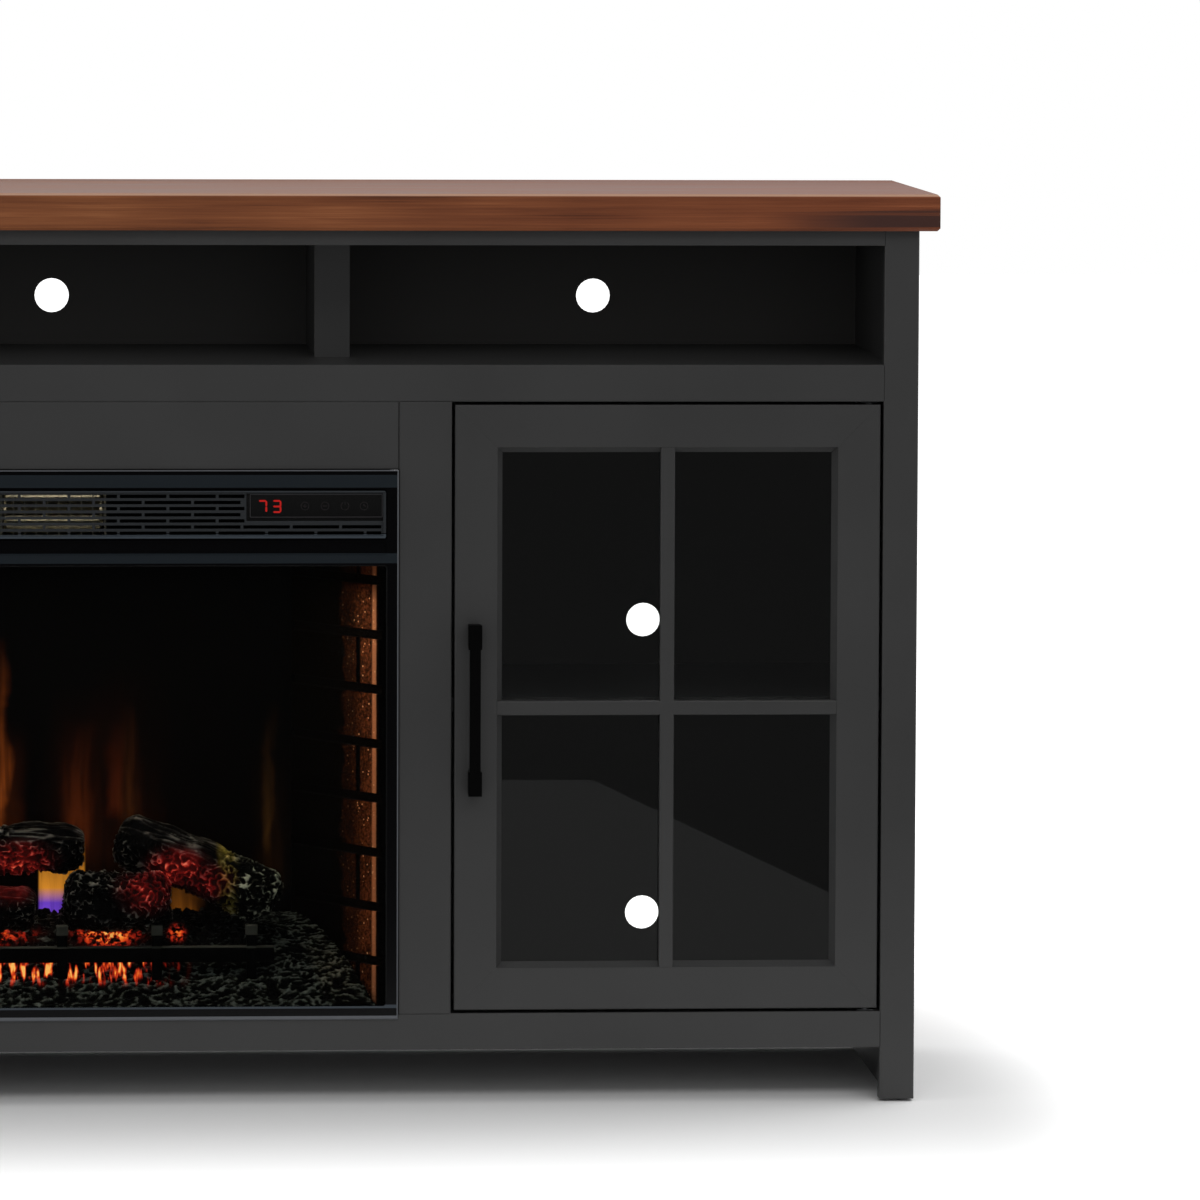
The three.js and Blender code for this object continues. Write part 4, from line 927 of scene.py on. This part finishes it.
# cast grate: one bar on five posts, each post with a slightly wider square cap
def shapeGrate(finish):
    plan = gratePlan
    form = bmesh.new()
    boxes = [plan["bar"]]
    half, front, top, step = (plan[k] for k in ("postHalf", "postFront", "postTop", "capStep"))
    shank = half - step
    for x in plan["posts"]:
        rear = front + 2 * half
        boxes.append(((x - shank, front + step, plan["postFoot"]), (x + shank, rear, top - 2 * step)))
        boxes.append(((x - half, front, top - plan["capHeight"]), (x + half, rear, top)))
    for low, high in boxes:
        low, high = Vector(low), Vector(high)
        seat = Matrix.Translation((low + high) / 2) @ Matrix.Diagonal((*(high - low), 1))
        block = bmesh.ops.create_cube(form, matrix=seat)
        edges = {edge for vert in block["verts"] for edge in vert.link_edges}
        bmesh.ops.bevel(form, geom=list(edges), offset=plan["arris"], segments=3, profile=0.6, affect="EDGES")
    newPiece("grate", closedMesh("grate", form), finish, "cabinet")


dress(flameMirror(), "flame_screen")
dress(castBrick(), *bothHands("brick_panel"))
ashFinish, coalFinish, logFinish = castAsh(), castClinker(), charredLog()
bedPiece = shapeBed(ashFinish)
shapeGrate(castIron())
carveLogs(logFinish)
print("fire shaped")

coalPlan = {"Spacing": 0.0075, "Smallest": 0.0045, "Largest": 0.0105, "Seed": 7, "Half width": 0.215,
            "Front": -0.146}
chunkPlan = {"size": (1, 0.8, 0.7), "levelFrom": 0.4, "density": 20000, "fullTurn": 6.28}


def compared(operation, first, second):
    return grow("FunctionNodeCompare", {"operation": operation}, {0: first, 1: second})[0]


def both(first, second):
    return grow("FunctionNodeBooleanMath", {"operation": "AND"}, {0: first, 1: second})[0]


# small clinkers scattered over the bed, one mesh at the end
def scatterCoals(finish):
    plan = chunkPlan
    tree, given = startTree("clinkerScatter", {
        "Geometry": "Geometry", "Spacing": "Float", "Smallest": "Float", "Largest": "Float",
        "Half width": "Float", "Front": "Float", "Seed": "Int", "Finish": "Material"})
    facing = split(addNode(tree, "GeometryNodeInputNormal").outputs[0])
    x, y = split(addNode(tree, "GeometryNodeInputPosition").outputs[0])[:2]
    level = compared("GREATER_THAN", facing[2], plan["levelFrom"])
    behindBar = compared("GREATER_THAN", y, given["Front"])
    within = compared("LESS_THAN", calc("ABSOLUTE", x), given["Half width"])
    points = grow("GeometryNodeDistributePointsOnFaces", {"distribute_method": "POISSON"}, {
        "Mesh": given["Geometry"], "Selection": both(both(level, behindBar), within),
        "Distance Min": given["Spacing"], "Density Max": plan["density"], "Seed": given["Seed"]})["Points"]
    chunk = addNode(tree, "GeometryNodeMeshCube", None, {
        "Size": plan["size"], "Vertices X": 3, "Vertices Y": 3, "Vertices Z": 3}).outputs[0]
    place = addNode(tree, "GeometryNodeInputPosition").outputs[0]
    rough = grow("ShaderNodeTexNoise", None, {"Vector": place, "Scale": 1.7, "Detail": 1})["Color"]
    centred = vectorCalc("SUBTRACT", rough, (0.5, 0.5, 0.5))
    warped = grow("GeometryNodeSetPosition", None, {"Geometry": chunk, "Offset": centred})[0]
    size = grow("FunctionNodeRandomValue", {"data_type": "FLOAT"}, {
        2: given["Smallest"], 3: given["Largest"], "Seed": 3})[1]
    turn = addNode(tree, "FunctionNodeRandomValue", {"data_type": "FLOAT_VECTOR"}, {
        0: (0, 0, 0), 1: (plan["fullTurn"],) * 3, "Seed": 5}).outputs[0]
    chunks = grow("GeometryNodeInstanceOnPoints", None, {
        "Points": points, "Instance": warped, "Rotation": turn, "Scale": size})[0]
    endTree(chunks, given["Finish"])
    mesh = grownMesh(bedPiece.data.copy(), tree, {**coalPlan, "Finish": finish})
    newPiece("clinkers", mesh, finish, "cabinet")


scatterCoals(coalFinish)

# name, place, point that it faces, width and height, watts, colour
fireLamps = [
    ("logLight", (0.0, -0.196, 0.55), (0.0, -0.14, 0.2), (0.6, 0.02), 1.5, "#fff0e0"),
    ("brickLight", (-0.285, -0.19, 0.35), (-0.34, -0.165, 0.35), (0.012, 0.42), 0.095, "#ffc48a"),
    ("brickLight", (0.285, -0.19, 0.35), (0.34, -0.165, 0.35), (0.012, 0.42), 0.095, "#ffc48a"),
    ("ductLight", (0.0, -0.2025, 0.6525), (0, -0.155, 0.636), (0.1, 0.004), 0.018, "#fff6e4"),
]
for fireLamp in fireLamps:
    ductLamp = softbox(*fireLamp)
ductLamp.visible_glossy = True  # the heater fins mirror it
print("fire lit")

displayPlan = {
    "front": -0.21084, "thickness": 0.00015,
    "digitHeight": 0.0138, "digitWidth": 0.0098, "stroke": 0.0019, "digitBottom": 0.6339,
    "digits": [("7", 0.2167), ("3", 0.2318)],
    "segments": {"7": "abc", "3": "abgcd"},
    # ends of a segment as shares of the digit's width and height
    "ends": {"a": ((0, 1), (1, 1)), "b": ((1, 1), (1, 0.5)), "c": ((1, 0.5), (1, 0)), "d": ((1, 0), (0, 0)),
             "g": ((0, 0.5), (1, 0.5))},
    "frame": (0.2085, 0.6295, 0.3485, 0.6535), "frameLine": 0.0006,
    "icons": [0.2666, 0.2878, 0.3090, 0.3292],
    "iconHeight": 0.6412, "iconRadius": 0.0042, "iconLine": 0.0006,
    "arcs": [(0, 360), (0, 360), (120, 420), (0, 360)], "arcSteps": 20,
    # strokes inside each ring, as shares of its radius
    "strokes": [[((-0.55, 0), (0.55, 0)), ((0, -0.55), (0, 0.55))], [((-0.55, 0), (0.55, 0))],
                [((0, 0.3), (0, 1.15))], [((0, 0), (0, 0.55)), ((0, 0), (0.55, 0))]],
    "digitGlow": 0.42, "frameGlow": 0.07, "iconGlow": 0.014,
}


# red light and grey print behind the black lens
def glowFinish(name, hexColour, strength):
    finish, shader, place = startFinish(name, roughness=0.4, others={
        "Emission Color": hexColour, "Emission Strength": strength})
    return endFinish(finish, shader, ramp(noiseAt(place, 400, 1), (0.3, "#0a0303"), (0.7, "#140606")))


# a flat stroke with pointed ends
def stroke(form, start, end, width):
    start, end = Vector(start), Vector(end)
    ahead = (end - start).normalized()
    aside = Vector((-ahead.y, ahead.x)) * width / 2
    tip = ahead * width / 2
    outline = [start, start + tip + aside, end - tip + aside, end, end - tip - aside, start + tip - aside]
    front, rear = displayPlan["front"], displayPlan["front"] + displayPlan["thickness"]
    rows = [[form.verts.new((p.x, y, p.y)) for p in outline] for y in (front, rear)]
    form.faces.new(rows[0])
    form.faces.new(reversed(rows[1]))
    for i in range(len(outline)):
        form.faces.new((rows[0][i - 1], rows[0][i], rows[1][i], rows[1][i - 1]))


def displayMark(name, strokes, width, finish):
    form = bmesh.new()
    for start, end in strokes:
        stroke(form, start, end, width)
    newPiece(name, closedMesh(name, form), finish, "cabinet")


def markDisplay():
    plan = displayPlan
    wide, high, line = plan["digitWidth"], plan["digitHeight"], plan["stroke"]
    digits = [[(left + line / 2 + u * (wide - line), plan["digitBottom"] + line / 2 + v * (high - line))
               for u, v in plan["ends"][segment]]
              for digit, left in plan["digits"] for segment in plan["segments"][digit]]
    displayMark("display_digits", digits, line, glowFinish("red display light", "#ff1d12", plan["digitGlow"]))
    left, low, right, high = plan["frame"]
    rim = [(left, low), (right, low), (right, high), (left, high)]
    displayMark("display_frame_line", zip(rim, rim[1:] + rim[:1]), plan["frameLine"],
                glowFinish("grey display print", "#8a8c92", plan["frameGlow"]))
    radius, height, steps = plan["iconRadius"], plan["iconHeight"], plan["arcSteps"]
    signs = []
    for middle, (first, last), inside in zip(plan["icons"], plan["arcs"], plan["strokes"]):
        ring = [math.radians(first + (last - first) * i / steps) for i in range(steps + 1)]
        dots = [(middle + math.cos(a) * radius, height + math.sin(a) * radius) for a in ring]
        signs += zip(dots, dots[1:])
        signs += [[(middle + u * radius, height + v * radius) for u, v in ends] for ends in inside]
    displayMark("display_icons", signs, plan["iconLine"],
                glowFinish("dim display print", "#9a9aa6", plan["iconGlow"]))


markDisplay()
print("display marked")

gapShadePlan = {"inner": 0.3661, "outer": 0.3664, "low": 0.094, "under": 0.6796, "top": 0.6799, "front": -0.2118,
            "back": -0.2005}


# a dull black strip with fine pores that stands in for the shade of the gap: painted shade
def gapShadeStrip():
    finish, shader, place = startFinish("black gap shade strip", roughness=0.95, specular=0.05)
    pores = grow("ShaderNodeTexVoronoi", None, {"Vector": place, "Scale": 1800})["Distance"]
    return endFinish(finish, shader, ramp(pores, (0.1, "#020202"), (0.6, "#060606")))


# a black strip in the gap round the sides and the top of the insert's frame, painted shade of the gap
def layGapShadeStrip():
    plan = gapShadePlan
    outer, inner = plan["outer"], plan["inner"]
    path = [(-outer, plan["low"]), (-outer, plan["top"]), (outer, plan["top"]), (outer, plan["low"]),
            (inner, plan["low"]), (inner, plan["under"]), (-inner, plan["under"]), (-inner, plan["low"])]
    form = bmesh.new()
    near, far = ([form.verts.new((x, y, z)) for x, z in path] for y in (plan["front"], plan["back"]))
    for row, order in ((near, 1), (far, -1)):
        for quad in ((0, 1, 6, 7), (1, 2, 5, 6), (2, 3, 4, 5)):
            form.faces.new([row[i] for i in quad][::order])
    for i in range(len(path)):
        form.faces.new((near[i - 1], near[i], far[i], far[i - 1]))
    newPiece("insert_foam_seal", closedMesh("gapShadeStrip", form), gapShadeStrip(), "cabinet")


layGapShadeStrip()

screwPlan = {
    "pitch": 0.135, "inset": 0.009,
    "headRadius": 0.0038, "headHeight": 0.0017, "sides": 16,
    "rings": [0, 0.25, 0.5, 0.72, 0.9, 1.0],
    "slotHalf": 0.17, "slotReach": 0.6, "slotDepth": 0.55,  # cross recess, as shares of the head
}


# pan head with a cross recess, facing backwards
def screwHead():
    plan = screwPlan
    form = bmesh.new()
    radius, angles = plan["headRadius"], [math.tau * i / plan["sides"] for i in range(plan["sides"])]
    rows = []
    for share in plan["rings"]:
        row = []
        for angle in angles:
            across, along = abs(math.cos(angle)) * share, abs(math.sin(angle)) * share
            slotted = min(across, along) < plan["slotHalf"] and max(across, along) < plan["slotReach"]
            dome = math.sqrt(max(1 - share * share * 0.9, 0))
            rise = plan["headHeight"] * (dome - (plan["slotDepth"] if slotted else 0))
            aside, up = math.cos(angle) * share * radius, math.sin(angle) * share * radius
            row.append(form.verts.new((aside, rise, up)))
        rows.append(row)
    rows.append([form.verts.new((v.co.x, 0, v.co.z)) for v in rows[-1]])
    for inner, outer in zip(rows, rows[1:]):
        for i in range(plan["sides"]):
            form.faces.new((inner[i - 1], outer[i - 1], outer[i], inner[i]))
    form.faces.new(rows[-1])
    bmesh.ops.remove_doubles(form, verts=form.verts, dist=0.00001)
    return closedMesh("screwHead", form)


# rows of screws round the back panels
def setScrews(finish):
    tree, given = startTree("screwRows", {
        "Geometry": "Geometry", "Head": "Object", "Pitch": "Float", "Finish": "Material"})
    line = grow("GeometryNodeMeshToCurve", None, {0: given["Geometry"]})[0]
    spaced = grow("GeometryNodeResampleCurve", {"mode": "LENGTH"}, {
        "Curve": line, "Length": given["Pitch"]})[0]
    points = grow("GeometryNodeCurveToPoints", {"mode": "EVALUATED"}, {0: spaced})[0]
    shape = grow("GeometryNodeObjectInfo", None, {"Object": given["Head"]})["Geometry"]
    rows = grow("GeometryNodeInstanceOnPoints", None, {"Points": points, "Instance": shape})[0]
    endTree(rows, given["Finish"])
    lines = bmesh.new()
    inset = screwPlan["inset"]
    for node in ("back_panel_upper", "left_back_panel", "right_back_panel"):
        low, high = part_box(node)
        x0, x1, z0, z1 = low.x + inset, high.x - inset, low.z + inset, high.z - inset
        corners = [(x0, z0), (x1, z0), (x1, z1), (x0, z1)]
        for (xa, za), (xb, zb) in zip(corners, corners[1:] + corners[:1]):
            lines.edges.new((lines.verts.new((xa, high.y, za)), lines.verts.new((xb, high.y, zb))))
    head = placed("screwHead", screwHead())
    mesh = grownMesh(meshFrom("screwLines", lines), tree, {
        "Head": head, "Pitch": screwPlan["pitch"], "Finish": finish})
    bpy.data.objects.remove(head)
    newPiece("back_panel_screws", mesh, finish, "cabinet")


setScrews(zincFinish)
print("screws set")
